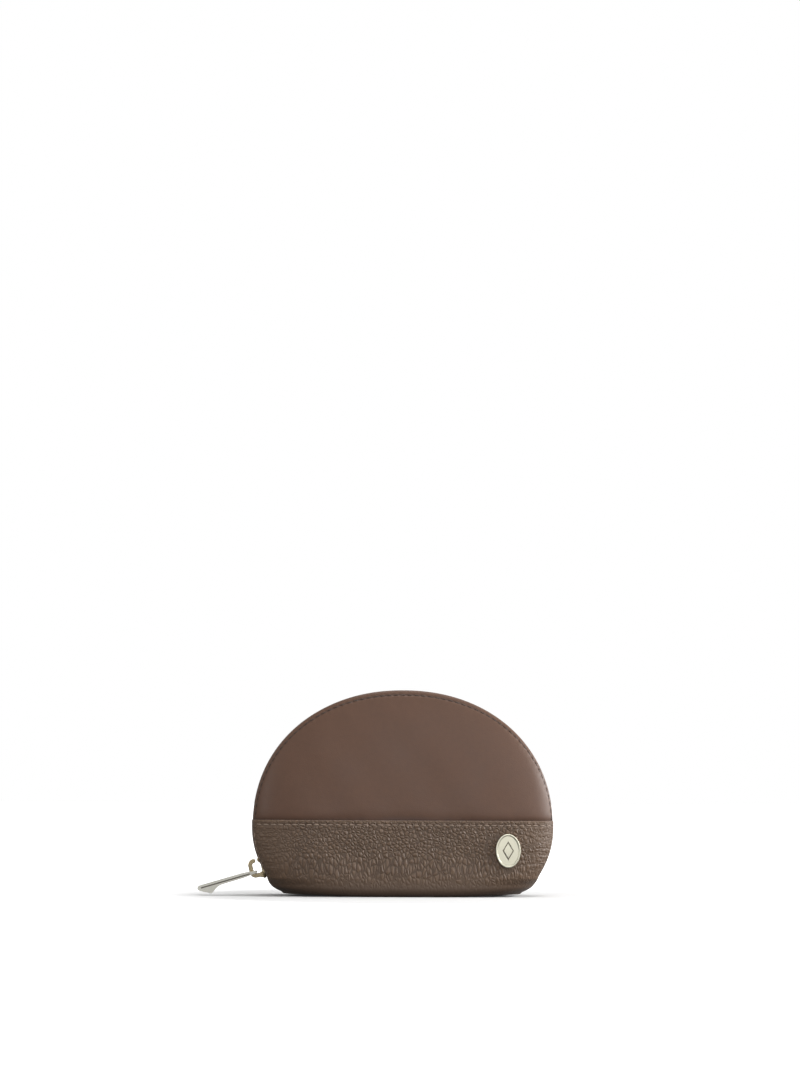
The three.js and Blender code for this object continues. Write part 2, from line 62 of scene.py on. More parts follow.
def box_mm(node):
    low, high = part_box(node)
    return np.array(low) / MM, np.array(high) / MM


# ---------------------------------------------------------------- sizes, from the frame where it has them
band_high = box_mm("front_lower_panel")[1]
HEIGHT = box_mm("front_upper_panel")[1][2]
BAND_TOP = band_high[2]
HALF_WIDTH = band_high[0]
BASE_HALF_DEPTH = 22.5
JOINTS = {joint["name"]: joint for joint in frame["joints"]}
ZIP_CENTRE = JOINTS["slider_travel"]["pos_m"][2] / MM
PIVOT = np.array(JOINTS["pull_swing"]["pos_m"]) / MM
TEETH_TOP = box_mm("front_tooth_row")[1][2] - ZIP_CENTRE
TEETH_THICK = 2.0
ZIP_RADIUS = TEETH_TOP - TEETH_THICK / 2

WIDEST_Z = 33.5
DOME_POWER = 2.12
DOME_INSET = 0.3  # the smooth walls stand this far inside the band at the sides
SIDE_DRAW_IN = 6.1
SIDE_POWER = 2.2
ZIP_END_Z = 11.4
BASE_DRAW_IN = 7.6
BASE_CORNER = 10.0
BASE_CORNER_REACH = 18.0
BASE_CORNER_POWER = 2.75
BASE_FOLD = 4.0
END_LIFT = 1.1  # the base rises a little towards its ends
TOP_HALF_DEPTH = 12.0
LEAN_POWER = 1.35
PILLOW_POWER = 4.5
RIM = 7.4  # half the depth at the leather's rim
RETURN = 6.2  # half the gap between the two turned-in edges
RETURN_DEPTH = 7.0
UPPER_BOTTOM_Z = BAND_TOP - 8
WALL_INSET = 0.5  # the smooth wall's face lies this far under the band's
LAP_DIP = 0.75  # and this much further right at the band's edge
LEATHER = 0.7

STITCH_PITCH = 3.4
STITCH_LENGTH = 2.75
STITCH_HALF_WIDTH = 0.3
EDGE_STITCH = 3.0  # along the leather from the rim to the row of stitches along the zip
BAND_STITCH = 2.2  # from the band's edge to its row of stitches
GROOVE = 0.26
GROOVE_WIDTH = 0.55
PUCKER = 0.07


# ---------------------------------------------------------------- the body's shape
def smooth_step(value, start, end):
    t = np.clip((np.asarray(value, float) - start) / (end - start), 0, 1)
    return t * t * (3 - 2 * t)


def band_half_width(z):
    """Half the width of the band and base at height z."""
    z = np.asarray(z, float)
    draw = np.maximum(WIDEST_Z - z, 0) / (WIDEST_Z - ZIP_END_Z)
    side = HALF_WIDTH - SIDE_DRAW_IN * draw**SIDE_POWER
    down = np.clip((BASE_CORNER - z) / BASE_CORNER, 0, 1)
    round_in = 1 - (1 - down**BASE_CORNER_POWER) ** (1 / BASE_CORNER_POWER)
    corner = HALF_WIDTH - BASE_DRAW_IN - BASE_CORNER_REACH * round_in
    # a smooth maximum, which leaves the small hollow where the zip ends
    return np.logaddexp(side * 2, corner * 2) / 2


DOME_HALF_WIDTH = HALF_WIDTH - DOME_INSET
DOME_RISE = HEIGHT - WIDEST_Z


def middle_half_depth(z):
    z = np.asarray(z, float)
    lean = 1 - np.clip(z / HEIGHT, 0, 1) ** LEAN_POWER
    fold = np.clip((BASE_FOLD - z) / BASE_FOLD, 0, 1)
    rounding = BASE_FOLD * (1 - np.sqrt(1 - fold**2))
    return TOP_HALF_DEPTH + (BASE_HALF_DEPTH - TOP_HALF_DEPTH) * lean - rounding


def pinch(z):
    """1 where the zip keeps the two walls apart, 0 where they meet under its end."""
    return smooth_step(z, 4.6, 9.0)


def base_lift(x):
    """How far the base rises at x, from its middle to its ends."""
    return END_LIFT * smooth_step(np.abs(x), 12, 60)


def wall_half_depth(x, z, half_width, inset=0.0):
    """Half the depth of a wall's face at a place of the front view."""
    x, z = np.asarray(x, float), np.asarray(z, float)
    across = np.abs(x) / half_width
    up = np.maximum(z - WIDEST_Z, 0) / DOME_RISE
    rim = (across**DOME_POWER + up**DOME_POWER) ** (1 / DOME_POWER)
    fullness = np.sqrt(1 - np.clip(rim, 0, 1) ** PILLOW_POWER)
    edge = RIM * pinch(z)
    return edge + (middle_half_depth(z) - inset - edge) * fullness


def in_from_rim(along, z, radius):
    """How far inside the outline a point lies that is a given way along the leather from the rim."""
    steep = (middle_half_depth(z) - RIM) ** 2 * PILLOW_POWER / radius
    return (np.sqrt(steep**2 + 4 * np.asarray(along, float) ** 2) - steep) / 2


def groove(distance, along):
    """How deep the leather is drawn in by a row of stitches, at a distance from it."""
    near = np.exp(-((distance / GROOVE_WIDTH) ** 2))
    wide = np.exp(-((distance / 1.5) ** 2))
    holes = 0.5 - 0.5 * np.cos(2 * np.pi * along / STITCH_PITCH)
    return GROOVE * near * (1 - 0.45 * holes) - PUCKER * wide * holes


def slow_waves(x, z, strength):
    """The gentle unevenness of leather over its board."""
    wave = np.sin(x * 0.11 + 1.3) * np.sin(z * 0.13 + 0.6) + 0.6 * np.sin(x * 0.23 + z * 0.17 + 2.1)
    return strength * wave * 0.5


# The outline of a smooth wall as a path from its lower left corner, over the dome, to its lower right corner.
def dome_path():
    side_z = np.linspace(UPPER_BOTTOM_Z, WIDEST_Z, 40)
    turn = np.linspace(np.pi, 0, 1600)
    cos, sin = np.cos(turn), np.sin(turn)
    dome_x = DOME_HALF_WIDTH * np.sign(cos) * np.abs(cos) ** (2 / DOME_POWER)
    dome_z = WIDEST_Z + DOME_RISE * sin ** (2 / DOME_POWER)
    side_x = band_half_width(side_z) - DOME_INSET
    x = np.concatenate([-side_x[:-1], dome_x, side_x[:-1][::-1]])
    z = np.concatenate([side_z[:-1], dome_z, side_z[:-1][::-1]])
    length = np.concatenate([[0], np.cumsum(np.hypot(np.diff(x), np.diff(z)))])
    even = np.linspace(0, length[-1], 1200)
    x, z = np.interp(even, length, x), np.interp(even, length, z)
    tangent_x, tangent_z = np.gradient(x, even), np.gradient(z, even)
    size = np.hypot(tangent_x, tangent_z)
    return even, x, z, -tangent_z / size, tangent_x / size


PATH_S, PATH_X, PATH_Z, PATH_NX, PATH_NZ = dome_path()
PATH_NX[[0, -1]] = [-1, 1]
PATH_NZ[[0, -1]] = 0


def on_path(s):
    """Points of the outline and its outward directions, at lengths s."""
    return [np.interp(s, PATH_S, values) for values in (PATH_X, PATH_Z, PATH_NX, PATH_NZ)]


# Two points on the front wall's foot, passed as the front band's body; nothing bends the band between them.
LOWER_BEND = ((0, 0, 0.012), (0, -0.00421, 0.02227))


# ---------------------------------------------------------------- making pieces
def deselect_all():
    if bpy.context.object and bpy.context.object.mode != "OBJECT":
        bpy.ops.object.mode_set(mode="OBJECT")
    bpy.ops.object.select_all(action="DESELECT")


def named(name):
    piece = bpy.context.object
    piece.name = name
    piece.data.name = name
    return piece


def coordinates(piece):
    co = np.empty(len(piece.data.vertices) * 3)
    piece.data.vertices.foreach_get("co", co)
    return co.reshape(-1, 3)


def set_coordinates(piece, co):
    piece.data.vertices.foreach_set("co", np.asarray(co, float).ravel())
    piece.data.update()


def add_attribute(piece, name, values, kind="FLOAT"):
    attribute = piece.data.attributes.new(name, kind, "POINT")
    key = "vector" if kind == "FLOAT_VECTOR" else "value"
    attribute.data.foreach_set(key, np.asarray(values, np.float32).ravel())


def apply_modifier(piece, kind, **settings):
    bpy.context.view_layer.objects.active = piece
    modifier = piece.modifiers.new(kind, kind)
    for key, value in settings.items():
        setattr(modifier, key, value)
    bpy.ops.object.modifier_apply(modifier=modifier.name)


def grid_sheet(name, columns, rows, place, flip=False):
    """A grid primitive; place(column, row) gives each vertex's x, y and z in millimetres."""
    deselect_all()
    bpy.ops.mesh.primitive_grid_add(x_subdivisions=columns, y_subdivisions=rows, size=2, location=(0, 0, 0))
    piece = named(name)
    flat = coordinates(piece)
    column = np.rint((flat[:, 0] + 1) / 2 * columns).astype(int)
    row = np.rint((flat[:, 1] + 1) / 2 * rows).astype(int)
    x, y, z = place(column, row)
    set_coordinates(piece, np.stack([x, y, z], axis=1) * MM)
    if flip:
        bpy.ops.object.mode_set(mode="EDIT")
        bpy.ops.mesh.select_all(action="SELECT")
        bpy.ops.mesh.flip_normals()
        bpy.ops.object.mode_set(mode="OBJECT")
    bpy.ops.object.shade_smooth()
    return piece, column, row


def thicken(piece, thickness):
    """Gives a sheet its thickness on the side away from its outer face."""
    apply_modifier(piece, "SOLIDIFY", thickness=thickness * MM, offset=-1, use_even_offset=False)


def finish_piece(piece, body, material, slot, *nodes):
    """Gives a piece its material and body. Its slot is not used.
    A body written as a pair of points is not bent: the piece stays where it was made."""
    if not piece.data.materials:
        piece.data.materials.append(material)
    if isinstance(body, str):
        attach(piece, body)
    else:
        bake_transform(piece)
    if nodes:
        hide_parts(*nodes)
    return piece


def two_finishes(piece, main, second, is_second):
    """Gives the faces that is_second picks another material than the rest."""
    piece.data.materials.clear()
    piece.data.materials.append(main)
    piece.data.materials.append(second)
    for face in piece.data.polygons:
        face.material_index = int(is_second(face))


def join(pieces, name):
    deselect_all()
    for piece in pieces:
        piece.select_set(True)
    bpy.context.view_layer.objects.active = pieces[0]
    if len(pieces) > 1:
        bpy.ops.object.join()
    return named(name)


def many_copies(pattern, matrices, name):
    """Copies of the pattern piece, each with its own mesh, laid out by the matrices and joined."""
    copies = []
    for matrix in matrices:
        copy = pattern.copy()
        copy.data = pattern.data.copy()
        copy.data.transform(matrix)
        bpy.context.scene.collection.objects.link(copy)
        copies.append(copy)
    bpy.data.objects.remove(pattern)
    return join(copies, name)


def bevel_edges(piece, width, segments=2, angle=30):
    apply_modifier(piece, "BEVEL", width=width * MM, segments=segments, limit_method="ANGLE",
                   angle_limit=math.radians(angle), harden_normals=False)


def smooth_by_angle(piece, degrees=40):
    """Smooth shading that keeps the broad faces flat."""
    deselect_all()
    piece.select_set(True)
    bpy.context.view_layer.objects.active = piece
    bpy.ops.object.shade_smooth_by_angle(angle=math.radians(degrees))
    apply_modifier(piece, "WEIGHTED_NORMAL", keep_sharp=True, weight=90)


def add_block(low, high, name="block"):
    """A cube primitive between two corners, in millimetres."""
    deselect_all()
    low, high = np.array(low, float), np.array(high, float)
    bpy.ops.mesh.primitive_cube_add(size=1, location=(0, 0, 0))
    piece = named(name)
    set_coordinates(piece, (coordinates(piece) * (high - low) + (high + low) / 2) * MM)
    return piece


def cut_away(piece, cutters):
    for cutter in cutters:
        apply_modifier(piece, "BOOLEAN", operation="DIFFERENCE", object=cutter, solver="EXACT")
        bpy.data.objects.remove(cutter)


def fuse(pieces, name):
    piece = pieces[0]
    for other in pieces[1:]:
        apply_modifier(piece, "BOOLEAN", operation="UNION", object=other, solver="EXACT")
        bpy.data.objects.remove(other)
    piece.name = name
    return piece


def extruded_outline(name, outline, y0, y1):
    """A face drawn in X and Z, pushed from y0 to y1 in edit mode."""
    deselect_all()
    bpy.ops.mesh.primitive_circle_add(vertices=len(outline), radius=1, fill_type="NGON", location=(0, 0, 0))
    piece = named(name)
    points = np.array([(x, y0, z) for x, z in outline]) * MM
    set_coordinates(piece, points)
    bpy.ops.object.mode_set(mode="EDIT")
    bpy.ops.mesh.select_all(action="SELECT")
    bpy.ops.mesh.extrude_region_move(TRANSFORM_OT_translate={"value": (0, (y1 - y0) * MM, 0)})
    bpy.ops.mesh.select_all(action="SELECT")
    bpy.ops.mesh.normals_make_consistent(inside=False)
    bpy.ops.object.mode_set(mode="OBJECT")
    return piece


def arc_points(centre_x, centre_z, radius, start, end, count):
    turn = np.radians(np.linspace(start, end, count))
    return [(centre_x + radius * math.cos(a), centre_z + radius * math.sin(a)) for a in turn]


# ---------------------------------------------------------------- materials
def new_group(name, inputs, outputs):
    group = bpy.data.node_groups.new(name, "ShaderNodeTree")
    for label, kind, value in inputs:
        socket = group.interface.new_socket(label, in_out="INPUT", socket_type=kind)
        if value is not None:
            socket.default_value = value
    for label, kind in outputs:
        group.interface.new_socket(label, in_out="OUTPUT", socket_type=kind)
    return group, group.nodes.new("NodeGroupInput"), group.nodes.new("NodeGroupOutput")


def add_node(tree, kind, settings=None, **inputs):
    """A node with its settings and inputs; an input may be a value or another node's output."""
    node = tree.nodes.new(kind)
    for key, value in (settings or {}).items():
        setattr(node, key, value)
    for key, value in inputs.items():
        socket = node.inputs[int(key[1:])] if key[0] == "i" and key[1:].isdigit() else node.inputs[key]
        if isinstance(value, bpy.types.NodeSocket):
            tree.links.new(value, socket)
        else:
            socket.default_value = value
    return node


def calculate(tree, operation, first, second=0.0, third=0.0):
    node = add_node(tree, "ShaderNodeMath", {"operation": operation}, i0=first, i1=second, i2=third)
    return node.outputs[0]


def map_range(tree, value, low, high, to_low=0.0, to_high=1.0, smooth=True):
    node = add_node(tree, "ShaderNodeMapRange", {"interpolation_type": "SMOOTHSTEP" if smooth else "LINEAR"},
                    i0=value, i1=low, i2=high, i3=to_low, i4=to_high)
    return node.outputs[0]


def mottle_group():
    """Slow and fine unevenness of a dyed surface, as a value about 0.5."""
    group, given, out = new_group(
        "dye_mottle", [("Vector", "NodeSocketVector", None), ("Scale", "NodeSocketFloat", 60.0)],
        [("Value", "NodeSocketFloat")])
    slow = add_node(group, "ShaderNodeTexNoise", Vector=given.outputs["Vector"], Scale=given.outputs["Scale"],
                    Detail=4.0, Roughness=0.55)
    fine_scale = calculate(group, "MULTIPLY", given.outputs["Scale"], 11.0)
    fine = add_node(group, "ShaderNodeTexNoise", Vector=given.outputs["Vector"], Scale=fine_scale, Detail=3.0)
    part = calculate(group, "MULTIPLY", fine.outputs[0], 0.35)
    total = calculate(group, "MULTIPLY_ADD", slow.outputs[0], 0.65, part)
    group.links.new(total, out.inputs[0])
    return group


def pore_group():
    """The fine pores and hair lines of smooth calf leather, as a height."""
    group, given, out = new_group(
        "calf_pores", [("Vector", "NodeSocketVector", None)],
        [("Height", "NodeSocketFloat"), ("Pore", "NodeSocketFloat")])
    bent = add_node(group, "ShaderNodeTexNoise", Vector=given.outputs["Vector"], Scale=900.0, Detail=2.0)
    pores = add_node(group, "ShaderNodeTexVoronoi", {"feature": "SMOOTH_F1"}, Vector=given.outputs["Vector"],
                     Scale=2600.0, Smoothness=0.6)
    pore = map_range(group, pores.outputs["Distance"], 0.0, 0.6, 0.0, 1.0)
    cells = add_node(group, "ShaderNodeTexVoronoi", {"feature": "DISTANCE_TO_EDGE"},
                     Vector=given.outputs["Vector"], Scale=1100.0)
    lines = map_range(group, cells.outputs["Distance"], 0.0, 0.12, 0.0, 1.0)
    total = calculate(group, "MULTIPLY_ADD", bent.outputs[0], 0.7, pore)
    total = calculate(group, "MULTIPLY_ADD", lines, 0.15, total)
    group.links.new(total, out.inputs["Height"])
    group.links.new(pore, out.inputs["Pore"])
    return group


def pebble_group():
    """Tumbled grain: rounded pebbles, and a mask of the valleys between them for painted shade. Vector is in
    millimetres.
    """
    group, given, out = new_group(
        "tumbled_grain",
        [("Vector", "NodeSocketVector", None), ("Size", "NodeSocketFloat", 1.7),
         ("Warp", "NodeSocketFloat", 0.9)],
        [("Height", "NodeSocketFloat"), ("Valley shade", "NodeSocketFloat")])
    frequency = calculate(group, "DIVIDE", 1.0, given.outputs["Size"])
    noise = add_node(group, "ShaderNodeTexNoise", Vector=given.outputs["Vector"], Scale=0.33, Detail=1.0,
                     Roughness=0.4)
    centred = add_node(group, "ShaderNodeVectorMath", {"operation": "SUBTRACT"}, i0=noise.outputs["Color"],
                       i1=(0.5, 0.5, 0.5))
    pushed = add_node(group, "ShaderNodeVectorMath", {"operation": "SCALE"}, i0=centred.outputs[0])
    doubled = calculate(group, "MULTIPLY", given.outputs["Warp"], 4.0)
    group.links.new(doubled, pushed.inputs["Scale"])
    moved = add_node(group, "ShaderNodeVectorMath", {"operation": "ADD"}, i0=given.outputs["Vector"],
                     i1=pushed.outputs[0])
    edges = add_node(group, "ShaderNodeTexVoronoi", {"feature": "DISTANCE_TO_EDGE"}, Vector=moved.outputs[0],
                     Scale=frequency)
    middles = add_node(group, "ShaderNodeTexVoronoi", {"feature": "SMOOTH_F1"}, Vector=moved.outputs[0],
                       Scale=frequency, Smoothness=0.8)
    round_top = calculate(group, "MULTIPLY", middles.outputs["Distance"], middles.outputs["Distance"])
    rim = map_range(group, edges.outputs["Distance"], 0.0, 0.4, 0.0, 0.8)
    height = calculate(group, "MULTIPLY_ADD", round_top, -0.5, rim)
    height = calculate(group, "ADD", height, 0.45)
    valley_shade = map_range(group, edges.outputs["Distance"], 0.0, 0.2, 1.0, 0.0)
    group.links.new(height, out.inputs["Height"])
    group.links.new(valley_shade, out.inputs["Valley shade"])
    return group


def weave_group():
    """Over and under threads of a plain weave. Vector is in millimetres."""
    group, given, out = new_group(
        "plain_weave", [("Vector", "NodeSocketVector", None), ("Pitch", "NodeSocketFloat", 0.45)],
        [("Height", "NodeSocketFloat")])
    turns = calculate(group, "DIVIDE", 2 * math.pi, given.outputs["Pitch"])
    split = add_node(group, "ShaderNodeSeparateXYZ", i0=given.outputs["Vector"])
    along = calculate(group, "MULTIPLY", split.outputs[0], turns)
    across = calculate(group, "MULTIPLY", split.outputs[1], turns)
    first = calculate(group, "SINE", along)
    second = calculate(group, "SINE", across)
    crossed = calculate(group, "MULTIPLY", first, second)
    height = calculate(group, "MULTIPLY_ADD", crossed, 0.5, 0.5)
    group.links.new(height, out.inputs[0])
    return group


MOTTLE = mottle_group()
PORES = pore_group()
PEBBLES = pebble_group()
WEAVE = weave_group()


def new_material(name, roughness, metallic=0.0):
    material = bpy.data.materials.new(name)
    material.use_nodes = True
    tree = material.node_tree
    shader = tree.nodes["Principled BSDF"]
    shader.inputs["Roughness"].default_value = roughness
    shader.inputs["Metallic"].default_value = metallic
    return material, tree, shader


def place_group(tree, group, **inputs):
    node = tree.nodes.new("ShaderNodeGroup")
    node.node_tree = group
    for key, value in inputs.items():
        if isinstance(value, bpy.types.NodeSocket):
            tree.links.new(value, node.inputs[key])
        else:
            node.inputs[key].default_value = value
    return node


def mix_colour(tree, factor, first, second, blend="MIX"):
    node = tree.nodes.new("ShaderNodeMix")
    node.data_type = "RGBA"
    node.blend_type = blend
    for socket, value in ((node.inputs[0], factor), (node.inputs[6], first), (node.inputs[7], second)):
        if isinstance(value, bpy.types.NodeSocket):
            tree.links.new(value, socket)
        else:
            socket.default_value = value
    return node.outputs[2]


def bump(tree, height, distance, strength=1.0, normal=None):
    node = add_node(tree, "ShaderNodeBump", Strength=strength, Distance=distance, Height=height)
    if normal is not None:
        tree.links.new(normal, node.inputs["Normal"])
    return node.outputs[0]


def object_coordinates(tree):
    return tree.nodes.new("ShaderNodeTexCoord").outputs["Object"]


def attribute_of(tree, name, output="Fac"):
    return add_node(tree, "ShaderNodeAttribute", {"attribute_name": name}).outputs[output]


def smooth_leather_material():
    material, tree, shader = new_material("smooth_calf", 0.5)
    where = object_coordinates(tree)
    mottle = place_group(tree, MOTTLE, Vector=where, Scale=38.0).outputs[0]
    pores = place_group(tree, PORES, Vector=where)
    shade = map_range(tree, mottle, 0.3, 0.7)
    colour = mix_colour(tree, shade, (0.115, 0.0545, 0.0305, 1), (0.133, 0.0635, 0.036, 1))
    pore_tint = map_range(tree, pores.outputs["Pore"], 0.0, 0.5, 0.35, 0.0)
    colour = mix_colour(tree, pore_tint, colour, (0.066, 0.038, 0.028, 1))
    # painted shade: this dark colour is laid over the stitch groove and under the band's edge
    painted_shade = calculate(tree, "MULTIPLY", attribute_of(tree, "painted_shade"), 0.75)
    colour = mix_colour(tree, painted_shade, colour, (0.05, 0.029, 0.022, 1))
    tree.links.new(colour, shader.inputs["Base Color"])
    rough = map_range(tree, mottle, 0.3, 0.7, 0.44, 0.56)
    tree.links.new(rough, shader.inputs["Roughness"])
    shader.inputs["Sheen Weight"].default_value = 0.12
    shader.inputs["Sheen Roughness"].default_value = 0.45
    shader.inputs["Sheen Tint"].default_value = (1.0, 0.86, 0.76, 1)
    slow = add_node(tree, "ShaderNodeTexNoise", Vector=where, Scale=130.0, Detail=2.0).outputs[0]
    normal = bump(tree, slow, 0.00022, 0.5)
    normal = bump(tree, pores.outputs["Height"], 0.00004, 0.5, normal)
    tree.links.new(normal, shader.inputs["Normal"])
    return material


def pebbled_leather_material():
    material, tree, shader = new_material("pebbled_calf", 0.5)
    where = object_coordinates(tree)
    grain_place = attribute_of(tree, "grain", "Vector")
    strength = attribute_of(tree, "grain_strength")
    grain = place_group(tree, PEBBLES, Vector=grain_place, Size=1.75, Warp=0.4)
    pores = place_group(tree, PORES, Vector=where)
    mottle = place_group(tree, MOTTLE, Vector=where, Scale=55.0).outputs[0]
    shade = map_range(tree, mottle, 0.3, 0.7)
    colour = mix_colour(tree, shade, (0.143, 0.0865, 0.052, 1), (0.171, 0.1055, 0.0645, 1))
    # painted shade: the valleys between the pebbles are darkened
    valley_shade = calculate(tree, "MULTIPLY", grain.outputs["Valley shade"], strength)
    valley_shade = calculate(tree, "MULTIPLY", valley_shade, 0.55)
    colour = mix_colour(tree, valley_shade, colour, (0.045, 0.03, 0.022, 1))
    # painted shade: this dark colour is laid over the stitch grooves, the turned-in edge and the foot of the
    # band
    painted_shade = calculate(tree, "MULTIPLY", attribute_of(tree, "painted_shade"), 0.7)
    colour = mix_colour(tree, painted_shade, colour, (0.045, 0.029, 0.022, 1))
    tree.links.new(colour, shader.inputs["Base Color"])
    rough = map_range(tree, grain.outputs["Height"], 0.1, 1.1, 0.58, 0.43)
    tree.links.new(rough, shader.inputs["Roughness"])
    shader.inputs["Sheen Weight"].default_value = 0.08
    shader.inputs["Sheen Roughness"].default_value = 0.45
    height = calculate(tree, "MULTIPLY", grain.outputs["Height"], strength)
    creases = add_node(tree, "ShaderNodeTexNoise", {"noise_dimensions": "3D"},
                       Vector=attribute_of(tree, "crease", "Vector"), Scale=1.0, Detail=3.0, Roughness=0.55)
    crease = calculate(tree, "MULTIPLY", creases.outputs[0], attribute_of(tree, "crease_strength"))
    normal = bump(tree, crease, 0.0011, 1.0)
    normal = bump(tree, height, 0.00045, 1.0, normal)
    normal = bump(tree, pores.outputs["Height"], 0.00004, 0.5, normal)
    tree.links.new(normal, shader.inputs["Normal"])
    return material


def metal_material(name, colour, roughness, metallic=1.0):
    material, tree, shader = new_material(name, roughness, metallic)
    where = object_coordinates(tree)
    mottle = place_group(tree, MOTTLE, Vector=where, Scale=120.0).outputs[0]
    shade = map_range(tree, mottle, 0.3, 0.7)
    dull = tuple(channel * 0.95 for channel in colour) + (1,)
    mixed = mix_colour(tree, shade, dull, colour + (1,))
    tree.links.new(mixed, shader.inputs["Base Color"])
    rough = map_range(tree, mottle, 0.3, 0.7, roughness * 0.92, roughness * 1.1)
    tree.links.new(rough, shader.inputs["Roughness"])
    return material


def woven_material(name, colour, pitch, depth, dark=0.55):
    material, tree, shader = new_material(name, 0.88)
    where = attribute_of(tree, "cloth", "Vector")
    weave = place_group(tree, WEAVE, Vector=where, Pitch=pitch).outputs[0]
    mottle = place_group(tree, MOTTLE, Vector=object_coordinates(tree), Scale=90.0).outputs[0]
    low = tuple(channel * dark for channel in colour) + (1,)
    woven = mix_colour(tree, weave, low, colour + (1,))
    shade = map_range(tree, mottle, 0.25, 0.75, 0.0, 0.3)
    woven = mix_colour(tree, shade, woven, tuple(channel * 0.7 for channel in colour) + (1,))
    tree.links.new(woven, shader.inputs["Base Color"])
    shader.inputs["Sheen Weight"].default_value = 0.25
    normal = bump(tree, weave, depth * MM, 0.9)
    tree.links.new(normal, shader.inputs["Normal"])
    return material


def thread_material(name, low, high):
    material, tree, shader = new_material(name, 0.5)
    where = object_coordinates(tree)
    split = add_node(tree, "ShaderNodeSeparateXYZ", i0=where)
    slant = calculate(tree, "ADD", split.outputs[0], split.outputs[2])
    turns = calculate(tree, "MULTIPLY", slant, 2 * math.pi / (0.55 * MM))
    twist = calculate(tree, "SINE", turns)
    twist = calculate(tree, "MULTIPLY_ADD", twist, 0.5, 0.5)
    colour = mix_colour(tree, twist, low + (1,), high + (1,))
    tree.links.new(colour, shader.inputs["Base Color"])
    tree.links.new(bump(tree, twist, 0.00008, 0.6), shader.inputs["Normal"])
    return material


def board_material():
    material, tree, shader = new_material("pressed_board", 0.9)
    mottle = place_group(tree, MOTTLE, Vector=object_coordinates(tree), Scale=300.0).outputs[0]
    colour = mix_colour(tree, mottle, (0.22, 0.21, 0.19, 1), (0.38, 0.36, 0.33, 1))
    tree.links.new(colour, shader.inputs["Base Color"])
    tree.links.new(bump(tree, mottle, 0.0001, 0.4), shader.inputs["Normal"])
    return material


DEEP_GOLD = (0.74, 0.61, 0.39)
SMOOTH = smooth_leather_material()
PEBBLED = pebbled_leather_material()
PULL_GOLD = metal_material("pull_gold", (0.9, 0.88, 0.79), 0.3, 0.35)
BADGE_GOLD = metal_material("badge_gold", (0.6, 0.58, 0.47), 0.32)
SLIDER_GOLD = metal_material("deep_gold", DEEP_GOLD, 0.2)
TOOTH_GOLD = metal_material("tooth_gold", DEEP_GOLD, 0.3)
# painted shade: a dark gold for the pull's grooves and the badge's recess
GROOVE_SHADE_GOLD = metal_material("groove_shade_gold", (0.24, 0.22, 0.18), 0.5)
TAPE_CLOTH = woven_material("zip_cloth", (0.105, 0.077, 0.06), 0.5, 0.1)
LINING_CLOTH = woven_material("lining_cloth", (0.42, 0.34, 0.26), 0.55, 0.07, 0.75)
EDGE_THREAD = thread_material("brown_thread", (0.045, 0.028, 0.02), (0.085, 0.055, 0.04))
BAND_THREAD = thread_material("light_thread", (0.25, 0.18, 0.135), (0.42, 0.31, 0.24))
BOARD = board_material()


# ---------------------------------------------------------------- smooth walls
RETURN_ROWS = [(RETURN_DEPTH, RETURN), (4.0, RETURN), (2.0, 6.24), (1.0, 6.38), (0.42, 6.62), (0.12, 6.98)]
# distances along the leather from the rim, closest round the row of stitches
EDGE_ROWS = [0, 0.06, 0.15, 0.3, 0.5, 0.75, 1.05, 1.4, 1.75, 2.1, 2.4, 2.6, 2.75, 2.9, 3.0, 3.1, 3.25,
             3.4, 3.6, 3.9, 4.3, 4.8, 5.5, 6.4, 7.5, 8.8, 10.3, 12.0]
FACE_STEPS = 22
SPINE_HALF = 30.0


def upper_wall(where, side, body):
    """The smooth leather wall: turned in at the zip, rolled at the rim, and tucked under the band."""
    edge = EDGE_ROWS
    last = edge[-1]
    columns = 400
    rows = len(RETURN_ROWS) + len(edge) + FACE_STEPS - 1
    distances = np.array([row[0] for row in RETURN_ROWS] + edge + [last] * FACE_STEPS)
    spine_share = np.array([0.0] * (len(RETURN_ROWS) + len(edge))
                           + [(i + 1) / FACE_STEPS for i in range(FACE_STEPS)])
    return_y = np.array([row[1] for row in RETURN_ROWS] + [0.0] * (len(edge) + FACE_STEPS))
    kept = {}

    def place(column, row):
        s = column / columns * PATH_S[-1]
        outline_x, outline_z, normal_x, normal_z = on_path(s)
        along = distances[row]
        share = spine_share[row]
        turned_in = row < len(RETURN_ROWS)
        distance = np.where(turned_in, along, in_from_rim(along, outline_z, DOME_RISE))
        x = outline_x - normal_x * distance
        z = outline_z - normal_z * distance
        # the sheet's lower edge stays level
        spine_x = (column / columns * 2 - 1) * SPINE_HALF
        x = x + (spine_x - x) * share
        z = z + (UPPER_BOTTOM_Z - z) * share
        depth = wall_half_depth(x, z, DOME_HALF_WIDTH, WALL_INSET)
        dip = LAP_DIP * np.exp(-np.maximum(z - BAND_TOP, 0) / 1.6)
        fade = smooth_step(along, 0.3, 1.8)
        drawn = groove(along - EDGE_STITCH, s) * (share == 0)
        puff = 0.14 * np.exp(-(((along - 1.4) / 0.7) ** 2)) * (share == 0)
        inner = np.minimum(distance + share * 40, 40)
        waves = slow_waves(x, z, 0.22) * smooth_step(inner, 3, 14)
        face_y = depth - (dip + drawn + waves) * fade + puff
        y = np.where(turned_in, return_y[row], face_y)
        # painted shade: the wall is darkened along its stitch groove, and a painted shadow darkens it where
        # it runs under the band's edge
        painted_shade = np.exp(-(((along - EDGE_STITCH) / 0.42) ** 2)) * (share == 0) * ~turned_in
        lap_shadow = np.exp(-np.maximum(z - BAND_TOP, 0) / 0.7) * ~turned_in
        kept["painted_shade"] = np.clip(painted_shade * 0.6 + lap_shadow, 0, 1)
        return x, side * y, z

    piece, column, row = grid_sheet(f"{where}_wall", columns, rows, place, flip=side < 0)
    add_attribute(piece, "painted_shade", kept["painted_shade"])
    thicken(piece, LEATHER)
    return finish_piece(piece, body, SMOOTH, "smooth_leather", f"{where}_upper_panel")


